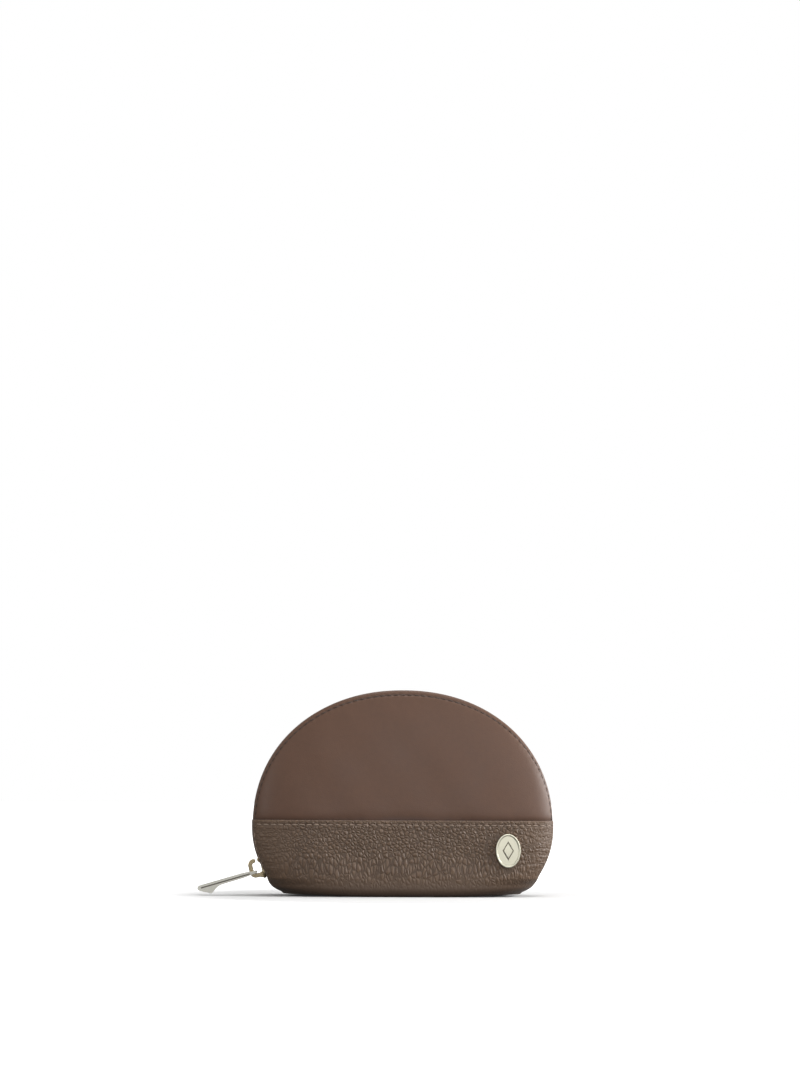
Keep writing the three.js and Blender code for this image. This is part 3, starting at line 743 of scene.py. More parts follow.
# ---------------------------------------------------------------- pebbled band
def band_rows():
    """The band's profile from its turned-in top edge, down the wall, round the fold and under the base.
    Each row is (height, inset, share of the way under the base)."""
    rows = [(BAND_TOP - 4.5, 1.0), (BAND_TOP - 1.0, 0.98), (BAND_TOP - 0.4, 0.92), (BAND_TOP - 0.12, 0.72),
            (BAND_TOP, 0.48), (BAND_TOP - 0.06, 0.24), (BAND_TOP - 0.2, 0.08), (BAND_TOP - 0.42, -0.02),
            (BAND_TOP - 0.75, -0.06)]
    rows = [(z, inset, 0.0) for z, inset in rows]
    fine = np.arange(BAND_TOP - 1.0, BAND_TOP - 5.2, -0.2)
    rows += [(z, 0.0, 0.0) for z in fine]
    rows += [(z, 0.0, 0.0) for z in np.arange(fine[-1] - 0.7, 10.2, -0.7)]
    rows += [(z, 0.0, 0.0) for z in np.arange(10.0, BASE_FOLD, -0.4)]
    turn = np.linspace(0, np.pi / 2, 12)
    rows += [(BASE_FOLD * (1 - math.sin(a)), 0.0, 0.0) for a in turn]
    rows += [(0.0, 0.0, share) for share in np.linspace(0, 1, 15)[1:]]
    return np.array(rows)


BAND_ROWS = band_rows()
END_RETURN, END_RETURN_Y = zip(*RETURN_ROWS)  # the band's ends turn in as the smooth wall does
END_NEAR = [along for along in EDGE_ROWS if along < 4.5]
END_LAST = END_NEAR[-1]


def band_columns():
    """For each column from the left end to the right: the way in from the end along the leather, its place in
    the turned-in edge or -1, its share of the way from the last near column to the middle, and its side."""
    steps = 112
    inside = [(i + 1) / (steps + 0.5) for i in range(steps)]
    left = [(along, i, 0.0) for i, along in enumerate(END_RETURN)]
    left += [(along, -1, 0.0) for along in END_NEAR] + [(END_LAST, -1, share) for share in inside]
    both = [column + (-1,) for column in left] + [column + (1,) for column in left[::-1]]
    return np.array(both).T


COLUMN_ALONG, COLUMN_STEP, COLUMN_SHARE, COLUMN_SIGN = band_columns()


def band_point(x_share, z):
    """A point of the band's bare face: x_share is -1 to 1 across."""
    x = x_share * band_half_width(z)
    return x, wall_half_depth(x, z, band_half_width(z))


def band(where, side, body):
    columns = len(COLUMN_ALONG) - 1
    rows = len(BAND_ROWS) - 1
    kept = {}

    def place(column, row):
        z, inset, under = BAND_ROWS[row].T
        reach = band_half_width(z)
        along = COLUMN_ALONG[column]
        step = COLUMN_STEP[column].astype(int)
        sign = COLUMN_SIGN[column]
        near = np.where(step >= 0, along, in_from_rim(along, z, reach))
        distance = near + (reach - near) * COLUMN_SHARE[column]
        away = np.where(step >= 0, 0.0, along + distance - near)
        tucked = inset * np.exp(-distance / 4)
        x = sign * (reach - distance - tucked)
        face = wall_half_depth(reach - distance, z, reach)
        top_gap = BAND_TOP - z
        drawn = groove(top_gap - BAND_STITCH, x)
        side_rows = smooth_step(z, 8, 12) * smooth_step(BAND_TOP - z, 2.8, 4.0)
        side_drawn = groove(away - EDGE_STITCH, z) * side_rows
        fade = smooth_step(away, 0.3, 1.8)
        puff = -0.08 * np.exp(-(((top_gap - 1.1) / 0.7) ** 2))
        puff = puff - 0.06 * np.exp(-(((top_gap - 3.6) / 1.0) ** 2))
        turned = inset > 0.9
        waves = slow_waves(x, z * 1.3 + 7, 0.3) * smooth_step(top_gap, 3, 9) * smooth_step(z, 5, 12)
        relief = np.where(turned, 0.0, drawn + puff) + side_drawn + waves
        y = face - inset - relief * fade * (under == 0)
        rim_y = np.array(END_RETURN_Y)[np.maximum(step, 0)] * pinch(z)
        y = np.where(step >= 0, np.maximum(rim_y, 0.15), y)
        y = np.maximum(y, 0.02) * (1 - under)
        y = np.where(under >= 1, 0.0, y)
        height = z + base_lift(x) * (1 - smooth_step(z, 0, 11))
        # where the two walls meet under the zip's end, the turned-in edge lies above the base
        height = height + np.where(step >= 0, np.minimum(along * 3, 1.4), 0.0) * (1 - pinch(z))
        lower = smooth_step(24 - z, 0, 14)
        stretched = np.where(z > 24, z, 24 - (24 - z) * (1 - 0.36 * lower))
        kept["grain"] = np.stack([x, side * y * 0.8, stretched], axis=1)
        ends = smooth_step(np.abs(x), 48, 66)
        strength = smooth_step(z, 1.0, 13.0) * (1 - 0.55 * ends) * (1 - 0.5 * np.exp(-top_gap / 0.8))
        kept["grain_strength"] = np.where(step >= 0, 0.15, np.maximum(strength, 0.1))
        kept["crease"] = np.stack([x * 0.12, side * y * 0.12, z * 0.75], axis=1)
        kept["crease_strength"] = ends * smooth_step(z, 6, 14) * 0.8
        # painted shade: the band is darkened in its stitch grooves and on its turned-in top edge, and made
        # darker towards the base where it curves under
        painted_shade = np.exp(-(((top_gap - BAND_STITCH) / 0.4) ** 2)) * (inset < 0.3)
        side_groove_shade = np.exp(-(((away - EDGE_STITCH) / 0.4) ** 2)) * side_rows * (step < 0)
        underside_shade = 0.8 * (1 - smooth_step(z, 1, 10))
        kept["painted_shade"] = np.clip(0.45 * painted_shade + 0.45 * side_groove_shade + 0.6 * (inset > 0.6) + underside_shade, 0, 1)
        return x, side * y, height

    piece, column, row = grid_sheet(f"{where}_band", columns, rows, place, flip=side < 0)
    for name, kind in (("grain", "FLOAT_VECTOR"), ("grain_strength", "FLOAT"), ("crease", "FLOAT_VECTOR"),
                       ("crease_strength", "FLOAT"), ("painted_shade", "FLOAT")):
        add_attribute(piece, name, kept[name], kind)
    thicken(piece, LEATHER)
    nodes = [f"{where}_lower_panel"] + (["base_panel"] if side > 0 else [])
    return finish_piece(piece, body, PEBBLED, "pebbled_leather", *nodes)


# ---------------------------------------------------------------- stitches
def stitch_pattern():
    deselect_all()
    bpy.ops.mesh.primitive_uv_sphere_add(segments=8, ring_count=7, radius=1, location=(0, 0, 0))
    piece = named("stitch")
    co = coordinates(piece)[:, [2, 0, 1]]
    along = co[:, 0]
    blunt = np.sign(along) * np.abs(along) ** 0.8
    half = STITCH_LENGTH / 2
    width = STITCH_HALF_WIDTH
    x = blunt * half
    # the thread lies in a low arch and dives into its holes
    z = co[:, 2] * width * 0.9 + 0.2 * (1 - along**2) - 0.16
    set_coordinates(piece, np.stack([x, co[:, 1] * width, z], axis=1) * MM)
    bpy.ops.object.shade_smooth()
    return piece


def frame_at(point, along, outward):
    """The matrix that lays a piece drawn along X, with its upper side on Z, onto a surface."""
    z = outward.normalized()
    x = (along - z * along.dot(z)).normalized()
    y = z.cross(x)
    return Matrix.Translation(point * MM) @ Matrix((x, y, z)).transposed().to_4x4()


def surface_frame(surface, s, side, twist=0.0):
    """surface(s, shift) gives a point; the stitch follows s, and shift crosses it."""
    here = Vector(surface(s, 0.0))
    along = Vector(surface(s + 0.3, 0.0)) - Vector(surface(s - 0.3, 0.0))
    across = Vector(surface(s, 0.5)) - Vector(surface(s, -0.5))
    outward = along.cross(across)
    if outward.y * side < 0:
        outward.negate()
    turned = along.normalized() + across.normalized() * twist
    return frame_at(here, turned, outward)


def dome_edge_surface(side):
    def surface(s, shift):
        x, z, normal_x, normal_z = [float(value) for value in on_path(s)]
        inside = float(in_from_rim(EDGE_STITCH + shift, z, DOME_RISE))
        x -= normal_x * inside
        z -= normal_z * inside
        depth = float(wall_half_depth(x, z, DOME_HALF_WIDTH, WALL_INSET))
        return x, side * (depth - GROOVE * 0.7), z
    return surface


def band_edge_surface(side):
    def surface(s, shift):
        z = BAND_TOP - BAND_STITCH - shift
        x, y = band_point(s / float(band_half_width(z)), z)
        return float(x), side * (float(y) - GROOVE * 0.45), z
    return surface


def band_side_surface(side, end):
    def surface(s, shift):
        reach = float(band_half_width(s))
        share = 1 - float(in_from_rim(EDGE_STITCH + shift, s, reach)) / reach
        x, y = band_point(share, s)
        return end * float(x), side * (float(y) - GROOVE * 0.6), s
    return surface


def stitches(where, side, body):
    matrices = []
    start = np.searchsorted(PATH_Z[:600], BAND_TOP + 1.2)
    first, last = PATH_S[start], PATH_S[-1] - PATH_S[start]
    count = int((last - first) / STITCH_PITCH)
    for i in range(count + 1):
        s = (math.ceil(first / STITCH_PITCH) + i + 0.5) * STITCH_PITCH
        if s < last:
            matrices.append(surface_frame(dome_edge_surface(side), s, side, 0.06))
    edge = many_copies(stitch_pattern(), matrices, f"{where}_edge_stitches")
    finish_piece(edge, body, EDGE_THREAD, "smooth_leather")
    matrices = []
    half = float(band_half_width(BAND_TOP)) - 1.2
    for i in range(-int(half / STITCH_PITCH) - 1, int(half / STITCH_PITCH) + 1):
        s = (i + 0.5) * STITCH_PITCH
        if abs(s) + STITCH_LENGTH / 2 < half:
            matrices.append(surface_frame(band_edge_surface(side), s, side, 0.06))
    for end in (-1, 1):
        steps = range(math.ceil(12.5 / STITCH_PITCH), int((BAND_TOP - 3.4) / STITCH_PITCH))
        for i in steps:
            s = (i + 0.5) * STITCH_PITCH
            matrices.append(surface_frame(band_side_surface(side, end), s, side, 0.06))
    piece = many_copies(stitch_pattern(), matrices, f"{where}_band_stitches")
    return finish_piece(piece, body, BAND_THREAD, "pebbled_leather")


# ---------------------------------------------------------------- lining and boards
def inner_sheet(name, side, inset, thickness, z_bottom, top_share, material, body, slot, *nodes):
    """A layer inside a wall: it follows the wall at an inset, from z_bottom up to a share of the dome."""
    columns, rows = 90, 46
    kept = {}

    def place(column, row):
        turn = np.sin((column / columns * 2 - 1) * np.pi / 2)
        up = np.sin(row / rows * np.pi / 2)
        width = DOME_HALF_WIDTH * top_share - inset
        rise = (DOME_RISE * top_share) - inset
        dome_z = WIDEST_Z + rise * (1 - np.abs(turn) ** DOME_POWER) ** (1 / DOME_POWER)
        z = z_bottom + (dome_z - z_bottom) * up
        side_scale = band_half_width(np.minimum(z, WIDEST_Z)) / HALF_WIDTH
        x = turn * width * side_scale
        full_x = x / width * DOME_HALF_WIDTH
        full_z = np.where(z > WIDEST_Z, WIDEST_Z + (z - WIDEST_Z) / rise * DOME_RISE, z)
        half = DOME_HALF_WIDTH * side_scale
        middle = middle_half_depth(np.maximum(z, BASE_FOLD))
        share_z = np.where(full_z > WIDEST_Z, WIDEST_Z + (full_z - WIDEST_Z) * top_share, full_z)
        bare = wall_half_depth(full_x * top_share, share_z, half)
        scale = 1 - inset / np.maximum(middle - RIM, inset + 1)
        edge = RETURN * pinch(z) + 0.3
        y = edge + (bare - RIM * pinch(z)) * scale + slow_waves(x, z, 0.35) * (1 - turn**4)
        kept["cloth"] = np.stack([x, z, z * 0], axis=1)
        return x, side * np.maximum(y, 0.4), z

    piece, column, row = grid_sheet(name, columns, rows, place, flip=side > 0)
    add_attribute(piece, "cloth", kept["cloth"], "FLOAT_VECTOR")
    thicken(piece, thickness)
    return finish_piece(piece, body, material, slot, *nodes)


def base_sheet(name, node, margin, thickness, edge_up, material, slot):
    """A layer on the base: it follows the base's rising ends, and its edges may turn up."""
    high = box_mm(node)[1]
    columns, rows = 80, 30
    half_x, half_y = high[0] - margin, high[1] - margin
    kept = {}

    def place(column, row):
        u = column / columns * 2 - 1
        v = row / rows * 2 - 1
        x = np.sin(u * np.pi / 2) * half_x
        edge = (1 - np.abs(x / (half_x + 0.5)) ** PILLOW_POWER) ** 0.5
        y = v * half_y * edge
        rim = np.maximum(np.abs(u), np.abs(v))
        z = high[2] + base_lift(x) + edge_up * smooth_step(rim, 0.9, 1.0)
        kept["cloth"] = np.stack([x, y, z * 0], axis=1)
        return x, y, z

    piece, column, row = grid_sheet(name, columns, rows, place)
    add_attribute(piece, "cloth", kept["cloth"], "FLOAT_VECTOR")
    thicken(piece, thickness)
    return finish_piece(piece, "root", material, slot, node)


# ---------------------------------------------------------------- zip
TOOTH_PITCH = 2.5
TOOTH_WIDTH = 1.12
SLIDER_HALF = 5.2
SWEEP_GAP = 0.9  # between the parked slider's tail and the wall that swings
STOP_ROOM = 2.1  # from the slider's nose to the zip's end
PARK_ANGLE = math.asin((ZIP_CENTRE - ZIP_END_Z) / ZIP_RADIUS) - SLIDER_HALF / ZIP_RADIUS / 2
SWEEP_START = -(PARK_ANGLE - SLIDER_HALF / ZIP_RADIUS - SWEEP_GAP / ZIP_RADIUS)
SWEEP_END = math.pi - SWEEP_START
END_ANGLE = PARK_ANGLE + SLIDER_HALF / ZIP_RADIUS + STOP_ROOM / ZIP_RADIUS
NECK_ROOM = 3.2 / ZIP_RADIUS  # no teeth stand where the parked slider's neck is


def zip_tape(name, side, start, end, body, *nodes):
    """One cloth tape, from its corded inner edge to the leather it is sewn under."""
    section = [(0.75, 0.0), (1.1, 0.32), (1.7, 0.38), (2.3, 0.3), (2.9, 0.05), (3.6, 0.0), (4.6, -0.02),
               (5.6, 0.05), (6.3, 0.1), (7.0, 0.0)]
    columns = max(6, int((end - start) * ZIP_RADIUS / 1.2))
    rows = len(section) - 1
    across = np.array(section)
    kept = {}

    def place(column, row):
        angle = start + (end - start) * column / columns
        y, rise = across[row].T
        radius = ZIP_RADIUS + rise + 0.25
        kept["cloth"] = np.stack([angle * ZIP_RADIUS, y, y * 0], axis=1)
        return radius * np.cos(angle), side * y, ZIP_CENTRE + radius * np.sin(angle)

    piece, column, row = grid_sheet(name, columns, rows, place, flip=side > 0)
    add_attribute(piece, "cloth", kept["cloth"], "FLOAT_VECTOR")
    thicken(piece, 0.5)
    return finish_piece(piece, body, TAPE_CLOTH, "zip_tape", *nodes)


def tooth_pattern():
    """One metal tooth, clamped on the tape's cord, its head narrower than its foot."""
    piece = add_block((-TOOTH_WIDTH / 2, 0, -0.95), (TOOTH_WIDTH / 2, 3.1, 0.95), "tooth")
    co = coordinates(piece) / MM
    # the head is at low y
    head = 1 - np.clip(co[:, 1] / 3.1, 0, 1)
    co[:, 0] *= 1 - 0.25 * head
    co[:, 2] *= 1 - 0.22 * head
    set_coordinates(piece, co * MM)
    bevel_edges(piece, 0.22, 2)
    bpy.ops.object.shade_smooth()
    return piece


def zip_matrix(angle, side):
    """Places a piece drawn at the top of the zip, its run along X and its tip towards the middle."""
    turn = Matrix.Rotation(math.pi / 2 - angle, 4, "Y")
    lift = Matrix.Translation((0, 0, ZIP_RADIUS * MM))
    mirror = Matrix.Identity(4) if side > 0 else Matrix.Rotation(math.pi, 4, "Z")
    shift = Matrix.Translation((0, -0.55 * MM, 0))
    return Matrix.Translation((0, 0, ZIP_CENTRE * MM)) @ turn @ lift @ mirror @ shift


def tooth_row(name, side, start, end, body, *nodes):
    first = math.ceil(start * ZIP_RADIUS / TOOTH_PITCH)
    matrices = []
    offset = 0.5 if side > 0 else 0.0
    for i in range(first - 1, first + int((end - start) * ZIP_RADIUS / TOOTH_PITCH) + 2):
        angle = (i + offset) * TOOTH_PITCH / ZIP_RADIUS
        if start + 0.6 / ZIP_RADIUS < angle < end - 0.6 / ZIP_RADIUS:
            matrices.append(zip_matrix(angle, side))
    piece = many_copies(tooth_pattern(), matrices, name)
    return finish_piece(piece, body, TOOTH_GOLD, "pale_gold", *nodes)


def whole_zip():
    for where, side, body in (("back", 1, "root"), ("front", -1, "front")):
        zip_tape(f"{where}_tape", side, SWEEP_START, SWEEP_END, body, f"{where}_zip_tape")
        tooth_row(f"{where}_teeth", side, SWEEP_START, SWEEP_END, body, f"{where}_tooth_row")
    ends = (("left", SWEEP_END, math.pi + END_ANGLE, math.pi + PARK_ANGLE + NECK_ROOM),
            ("right", -END_ANGLE, SWEEP_START, -PARK_ANGLE + NECK_ROOM))
    for where, start, end, last_tooth in ends:
        for side in (-1, 1):
            label = "front" if side < 0 else "back"
            zip_tape(f"{where}_end_tape_{label}", side, start, end, "root", f"zip_end_{where}")
            tooth_row(f"{where}_end_teeth_{label}", side, start, last_tooth, "root")


# ---------------------------------------------------------------- slider and pull
SLIDER_ANGLE = math.pi + PARK_ANGLE
SLIDER_HALF_WIDTH = 4.4
PLATE = 1.3
TOP_PLATE = TEETH_TOP + 0.4
BOTTOM_PLATE = TEETH_TOP - TEETH_THICK - 0.6
PLATE_FACE = TOP_PLATE + PLATE
HOOK_RISE = 6.1
HOOK_WIDTH = 2.4
HOOK_THICK = 2.1  # the leg stays clear of the cross bar that hangs behind it


def put_on_zip(piece):
    """Moves a piece drawn at the top of the zip to the parked slider's place.
    Its heights are counted from the zip's centre."""
    turn = Matrix.Translation((0, 0, ZIP_CENTRE * MM)) @ Matrix.Rotation(math.pi / 2 - SLIDER_ANGLE, 4, "Y")
    piece.data.transform(turn)
    piece.data.update()
    return piece


def slider_plate(name, low, high, crown):
    """A plate with a rounded nose and a waisted tail, its outer face slightly crowned."""
    half, wide = SLIDER_HALF, SLIDER_HALF_WIDTH
    outline = []
    for turn in np.radians(np.linspace(90, 270, 17)):
        outline.append((-half + 3.2 + 3.2 * math.cos(turn), wide * math.sin(turn)))
    outline += [(half - 2.6, -wide * 0.9), (half - 1.2, -wide * 0.86)]
    for turn in np.radians(np.linspace(-80, 80, 9)):
        outline.append((half - 1.2 + 1.2 * math.cos(turn), wide * 0.82 * math.sin(turn)))
    outline += [(half - 1.2, wide * 0.86), (half - 2.6, wide * 0.9)]
    deselect_all()
    bpy.ops.mesh.primitive_circle_add(vertices=len(outline), radius=1, fill_type="NGON", location=(0, 0, 0))
    piece = named(name)
    set_coordinates(piece, np.array([(x, y, low) for x, y in outline]) * MM)
    bpy.ops.object.mode_set(mode="EDIT")
    bpy.ops.mesh.select_all(action="SELECT")
    bpy.ops.mesh.extrude_region_move(TRANSFORM_OT_translate={"value": (0, 0, (high - low) * MM)})
    bpy.ops.mesh.select_all(action="SELECT")
    bpy.ops.mesh.normals_make_consistent(inside=False)
    bpy.ops.object.mode_set(mode="OBJECT")
    bevel_edges(piece, crown, 3)
    return piece


def hook_outline():
    """The hook's side view: up from the plate, back over it, and down towards the tail post."""
    front = -SLIDER_HALF + 1.0
    back = SLIDER_HALF - 0.2
    top = PLATE_FACE + HOOK_RISE
    tip = PLATE_FACE + 2.1
    low = PLATE_FACE - 0.5
    round_out = 3.0
    round_in = round_out - HOOK_THICK
    points = [(front - 0.7, low), (front - 0.55, PLATE_FACE + 0.5), (front - 0.1, PLATE_FACE + 1.4),
              (front, PLATE_FACE + 2.2)]
    points += arc_points(front + round_out, top - round_out, round_out, 180, 90, 9)
    points += arc_points(back - round_out, top - round_out, round_out, 90, 0, 9)
    points += [(back, tip + 0.7), (back - 0.35, tip + 0.1), (back - 1.0, tip - 0.1), (back - 1.55, tip + 0.1),
               (back - HOOK_THICK, tip + 0.7)]
    points += arc_points(back - round_out, top - round_out, round_in, 0, 90, 7)
    points += arc_points(front + round_out, top - round_out, round_in, 90, 180, 7)
    points += [(front + HOOK_THICK, PLATE_FACE + 1.2), (front + HOOK_THICK + 0.3, PLATE_FACE + 0.4),
               (front + HOOK_THICK + 0.9, low)]
    return points


def slider():
    top = slider_plate("slider_top", TOP_PLATE, PLATE_FACE, 0.45)
    bottom = slider_plate("slider_bottom", BOTTOM_PLATE - PLATE, BOTTOM_PLATE, 0.35)
    neck = add_block((-SLIDER_HALF + 0.5, -0.7, BOTTOM_PLATE - 0.3),
                     (-SLIDER_HALF + 1.9, 0.7, TOP_PLATE + 0.3))
    flanges = []
    for side in (-1, 1):
        near, far = sorted((side * (SLIDER_HALF_WIDTH - 0.85), side * SLIDER_HALF_WIDTH * 0.99))
        low = ZIP_RADIUS + 0.62
        flange = add_block((-SLIDER_HALF + 2.4, near, low), (SLIDER_HALF - 2.0, far, TOP_PLATE + 0.5))
        bevel_edges(flange, 0.2)
        flanges.append(flange)
    hook = extruded_outline("hook", hook_outline(), -HOOK_WIDTH / 2, HOOK_WIDTH / 2)
    bevel_edges(hook, 0.5, 4)
    back = SLIDER_HALF - 0.2
    post = extruded_outline(
        "post", [(back - 2.9, PLATE_FACE - 0.4), (back - 2.3, PLATE_FACE + 0.6),
                 (back - 1.6, PLATE_FACE + 1.2), (back - 0.5, PLATE_FACE + 1.3),
                 (back - 0.05, PLATE_FACE + 0.9), (back + 0.1, PLATE_FACE - 0.4)],
        -HOOK_WIDTH / 2, HOOK_WIDTH / 2)
    bevel_edges(post, 0.28, 3)
    piece = fuse([top, bottom, neck] + flanges + [hook, post], "slider_casting")
    smooth_by_angle(piece, 38)
    put_on_zip(piece)
    return finish_piece(piece, "slider", SLIDER_GOLD, "pale_gold", "slider_body")


PULL_LENGTH = 29.4
PULL_HALF_WIDTH = 3.0
PULL_HALF_THICK = 1.2
PULL_FOOT = 2.75
PULL_BAR = 0.6
PULL_WINDOW = 7.2
PULL_SLOPE = math.radians(16.2)


def pull_outline():
    """The pull's side view, drawn along -X from its cross bar, with its foot below the tip."""
    half = PULL_HALF_THICK
    end = -PULL_LENGTH
    points = arc_points(0, 0, PULL_BAR, -90, 90, 7)
    points += [(-1.5, PULL_BAR + 0.12), (-PULL_WINDOW + 1.6, half - 0.1), (-PULL_WINDOW, half)]
    points += [(end + 1.5, half), (end + 0.7, half - 0.2), (end + 0.2, half - 0.65), (end, half - 1.2)]
    # the foot's sole, level when the pull hangs, and its hollow heel
    for along, depth in ((0.15, -0.6), (0.8, 0.0), (1.8, 0.6), (3.2, 1.35), (4.8, 2.15), (5.8, PULL_FOOT),
                         (6.5, PULL_FOOT - 0.15), (7.3, PULL_FOOT - 0.75), (8.2, PULL_FOOT - 1.35),
                         (9.2, PULL_FOOT - 1.9), (10.4, PULL_FOOT - 2.35), (11.8, 0.1)):
        points.append((end + along, -half - depth))
    points += [(-PULL_WINDOW, -half), (-PULL_WINDOW + 1.6, -half + 0.1), (-1.5, -PULL_BAR - 0.12)]
    return points[::-1]


def pull():
    piece = extruded_outline("pull_blade", pull_outline(), -PULL_HALF_WIDTH, PULL_HALF_WIDTH)
    slot = HOOK_WIDTH / 2 + 0.3
    window = add_block((-PULL_WINDOW, -slot, -5), (-PULL_BAR, slot, 5))
    bevel_edges(window, 0.5, 3)
    cut_away(piece, [window])
    bevel_edges(piece, 0.36, 3, 40)
    grooves = []
    for side in (-1, 1):
        near, far = sorted((side * (PULL_HALF_WIDTH - 0.55), side * (PULL_HALF_WIDTH + 0.5)))
        groove_block = add_block((-PULL_LENGTH + 1.8, near, -0.42), (-PULL_WINDOW + 4.0, far, 0.18))
        bevel_edges(groove_block, 0.1, 2)
        grooves.append(groove_block)
    cut_away(piece, grooves)

    def is_groove(face):
        x, y, z = face.center / MM
        along = 1.7 - PULL_LENGTH < x < 3.9 - PULL_WINDOW
        return along and PULL_HALF_WIDTH - 0.6 < abs(y) < PULL_HALF_WIDTH - 0.05 and -0.44 < z < 0.2

    # the pull's grooves get the dark gold as painted shade
    two_finishes(piece, PULL_GOLD, GROOVE_SHADE_GOLD, is_groove)
    smooth_by_angle(piece, 35)
    hang = Matrix.Translation(Vector(PIVOT) * MM) @ Matrix.Rotation(-PULL_SLOPE, 4, "Y")
    piece.data.transform(hang)
    return finish_piece(piece, "pull", PULL_GOLD, "pale_gold", "pull_tab")


# ---------------------------------------------------------------- badge
BADGE_X, BADGE_Z = 49.2, 22.1
BADGE_HALF_X, BADGE_HALF_Z = 6.1, 8.05


def badge_frame():
    def surface(x, z):
        reach = float(band_half_width(z))
        return Vector((x, -float(wall_half_depth(x, z, reach)), z))

    here = surface(BADGE_X, BADGE_Z)
    along = surface(BADGE_X + 4, BADGE_Z) - surface(BADGE_X - 4, BADGE_Z)
    up = surface(BADGE_X, BADGE_Z + 4) - surface(BADGE_X, BADGE_Z - 4)
    return frame_at(here + along.cross(up).normalized() * 0.1, along, along.cross(up))


def lozenge(half_x, half_y, low, high):
    """An upright lozenge block, drawn on X and Y."""
    piece = extruded_outline("lozenge", [(half_x, 0), (0, half_y), (-half_x, 0), (0, -half_y)], low, high)
    piece.data.transform(Matrix.Rotation(math.pi / 2, 4, "X"))
    return piece


def badge():
    """An upright oval medallion: a raised rim, a sunk field and a plain raised lozenge."""
    deselect_all()
    bpy.ops.mesh.primitive_cylinder_add(vertices=64, radius=1, depth=1, location=(0, 0, 0))
    piece = named("badge_medallion")
    co = coordinates(piece)
    thick = 1.5
    set_coordinates(piece, np.stack([co[:, 0] * BADGE_HALF_X, co[:, 1] * BADGE_HALF_Z,
                                     (co[:, 2] + 0.5) * thick - 0.2], axis=1) * MM)
    bpy.ops.object.mode_set(mode="EDIT")
    bpy.ops.mesh.select_mode(type="FACE")
    bpy.ops.mesh.select_all(action="DESELECT")
    bpy.ops.object.mode_set(mode="OBJECT")
    for face in piece.data.polygons:
        face.select = face.normal.z > 0.9
    bpy.ops.object.mode_set(mode="EDIT")
    bpy.ops.mesh.inset(thickness=0.8 * MM, depth=0)
    bpy.ops.mesh.inset(thickness=0.1 * MM, depth=-0.45 * MM)
    bpy.ops.object.mode_set(mode="OBJECT")
    bevel_edges(piece, 0.14, 3, 35)
    field = thick - 0.65
    cut_away(piece, [lozenge(2.8, 4.6, field - 0.4, field + 0.1)])
    stud = lozenge(2.2, 3.6, field - 0.6, field + 0.12)
    bevel_edges(stud, 0.12, 2)
    piece = fuse([piece, stud], "badge_medallion")

    def is_recess(face):
        return -0.45 < face.center.z / MM - field < -0.35 and face.normal.z > 0.9

    # the recess round the lozenge gets the dark gold as painted shade
    two_finishes(piece, BADGE_GOLD, GROOVE_SHADE_GOLD, is_recess)
    smooth_by_angle(piece, 35)
    piece.data.transform(badge_frame())
    return finish_piece(piece, "front", BADGE_GOLD, "pale_gold", "badge_plate")


# ---------------------------------------------------------------- camera, light and floor
ROOM_DARK = 0.3
ROOM_BRIGHT = 0.55


def camera():
    distance = 1.5
    azimuth = math.radians(-4.0)
    place = Vector((distance * math.sin(azimuth), -distance * math.cos(azimuth), 0.055))
    target = Vector((-0.0019, 0, 0.1757))
    data = bpy.data.cameras.new("camera")
    data.sensor_fit = "VERTICAL"
    data.sensor_height = 36
    data.lens = 36 * distance / 0.518
    eye = bpy.data.objects.new("camera", data)
    eye.location = place
    aim = (target - place).to_track_quat("-Z", "Y").to_matrix().to_4x4()
    roll = Matrix.Rotation(math.radians(0.3), 4, "Z")
    eye.matrix_world = Matrix.Translation(place) @ aim @ roll
    bpy.context.scene.collection.objects.link(eye)
    bpy.context.scene.camera = eye


def area_light(name, place, target, size, power):
    data = bpy.data.lights.new(name, "AREA")
    data.shape = "RECTANGLE"
    data.size, data.size_y = size
    data.energy = power
    lamp = bpy.data.objects.new(name, data)
    aim = (Vector(target) - Vector(place)).to_track_quat("-Z", "Y").to_matrix().to_4x4()
    lamp.matrix_world = Matrix.Translation(place) @ aim
    bpy.context.scene.collection.objects.link(lamp)


def studio_world():
    """A dim room with a brighter upper right; the camera sees plain white."""
    world = bpy.data.worlds.new("studio")
    bpy.context.scene.world = world
    world.use_nodes = True
    tree = world.node_tree
    tree.nodes.clear()
    where = tree.nodes.new("ShaderNodeTexCoord").outputs["Generated"]
    towards = add_node(tree, "ShaderNodeVectorMath", {"operation": "DOT_PRODUCT"}, i0=where,
                       i1=(0.55, -0.45, 0.7)).outputs["Value"]
    strength = map_range(tree, towards, -0.6, 1.0, ROOM_DARK, ROOM_BRIGHT)
    room = add_node(tree, "ShaderNodeBackground", Color=(1, 1, 1, 1), Strength=strength)
    white = add_node(tree, "ShaderNodeBackground", Color=(1, 1, 1, 1), Strength=1.0)
    path = tree.nodes.new("ShaderNodeLightPath")
    mixed = add_node(tree, "ShaderNodeMixShader", i0=path.outputs["Is Camera Ray"], i1=room.outputs[0],
                     i2=white.outputs[0])
    out = tree.nodes.new("ShaderNodeOutputWorld")
    tree.links.new(mixed.outputs[0], out.inputs[0])


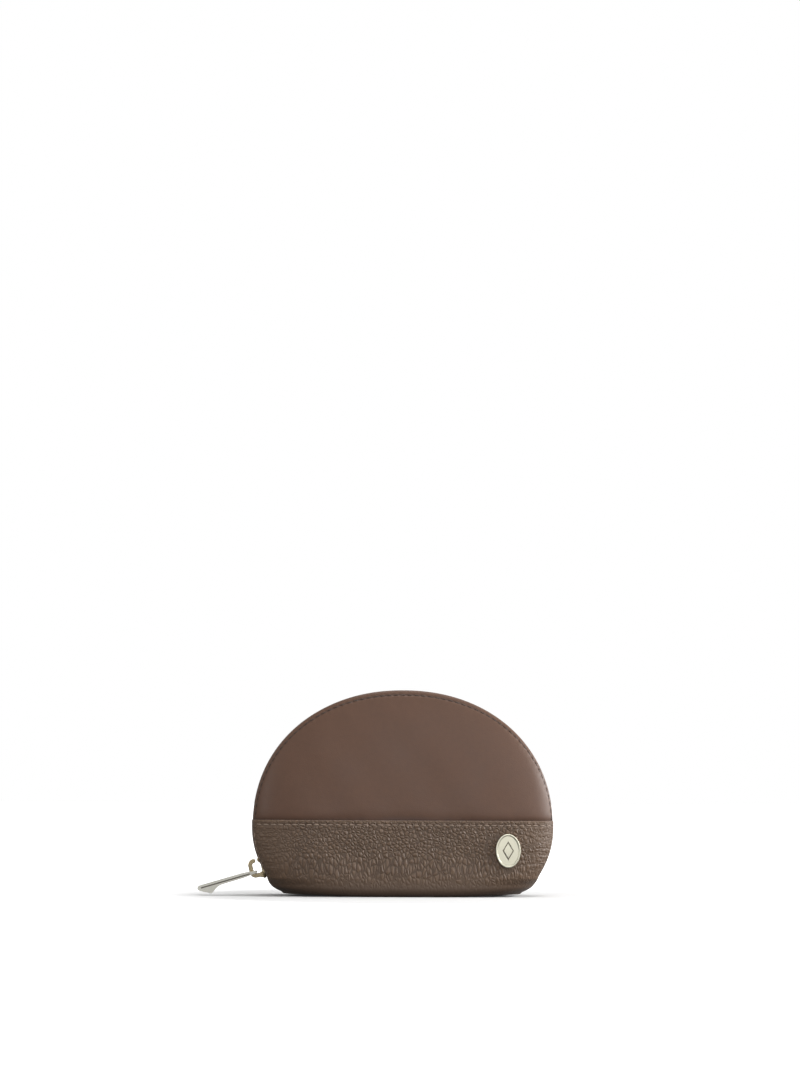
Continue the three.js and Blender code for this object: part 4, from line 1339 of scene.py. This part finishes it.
def studio():
    studio_world()
    bpy.context.scene.view_settings.view_transform = "Standard"
    bpy.context.scene.view_settings.look = "None"
    area_light("key", (1.1, -0.25, 0.38), (0, 0, 0.05), (0.4, 0.5), 8.5)
    area_light("front", (0.4, -1.15, 0.4), (0, 0, 0.05), (0.9, 0.5), 3.3)
    area_light("left", (-1.1, -0.7, 0.35), (0, 0, 0.03), (0.5, 0.5), 2.5)
    area_light("top", (0.1, 0.0, 0.95), (0, 0, 0.05), (0.6, 0.4), 2.6)
    area_light("edge", (0.95, 0.25, 0.25), (0, 0, 0.04), (0.3, 0.4), 4.5)
    deselect_all()
    bpy.ops.mesh.primitive_plane_add(size=12, location=(0, 0, 0))
    floor = named("floor")
    material, tree, shader = new_material("white_sweep", 0.9)
    path = tree.nodes.new("ShaderNodeLightPath").outputs["Is Camera Ray"]
    seen = mix_colour(tree, path, (0.2, 0.2, 0.2, 1), (0.88, 0.88, 0.88, 1))
    tree.links.new(seen, shader.inputs["Base Color"])
    shader.inputs["Specular IOR Level"].default_value = 0.0
    away = add_node(tree, "ShaderNodeVectorMath", {"operation": "LENGTH"}, i0=object_coordinates(tree))
    glow = map_range(tree, away.outputs["Value"], 0.088, 0.16, 0.02, 1.0)
    glow = calculate(tree, "MULTIPLY", glow, path)
    shader.inputs["Emission Color"].default_value = (1, 1, 1, 1)
    tree.links.new(glow, shader.inputs["Emission Strength"])
    floor.data.materials.append(material)


# ---------------------------------------------------------------- the pouch
def leather_body():
    for where, side, body in (("back", 1, "root"), ("front", -1, "front")):
        upper_wall(where, side, body)
        band(where, side, "root" if side > 0 else LOWER_BEND)
        stitches(where, side, body)
        inner_sheet(f"{where}_board", side, 2.0, 0.8, 8.0, 0.93, BOARD, body, "grey_board",
                    f"{where}_stiffener")
        inner_sheet(f"{where}_lining_cloth", side, 3.2, 0.4, 4.5, 1.0, LINING_CLOTH, body, "lining_cloth",
                    f"{where}_lining")


def carried_nodes():
    """The pieces whose plain shape is right: they keep it and get their finish."""
    for name in ("badge_back_plate", "top_stop_back", "top_stop_front", "bottom_stop"):
        frame["nodes"][name].data.materials.clear()
        frame["nodes"][name].data.materials.append(TOOTH_GOLD)


camera()
leather_body()
base_sheet("base_board_sheet", "base_board", 2.5, 1.2, 0.0, BOARD, "grey_board")
base_sheet("base_lining_cloth", "base_lining", 0.6, 0.4, 1.6, LINING_CLOTH, "lining_cloth")
whole_zip()
slider()
pull()
badge()
carried_nodes()
studio()
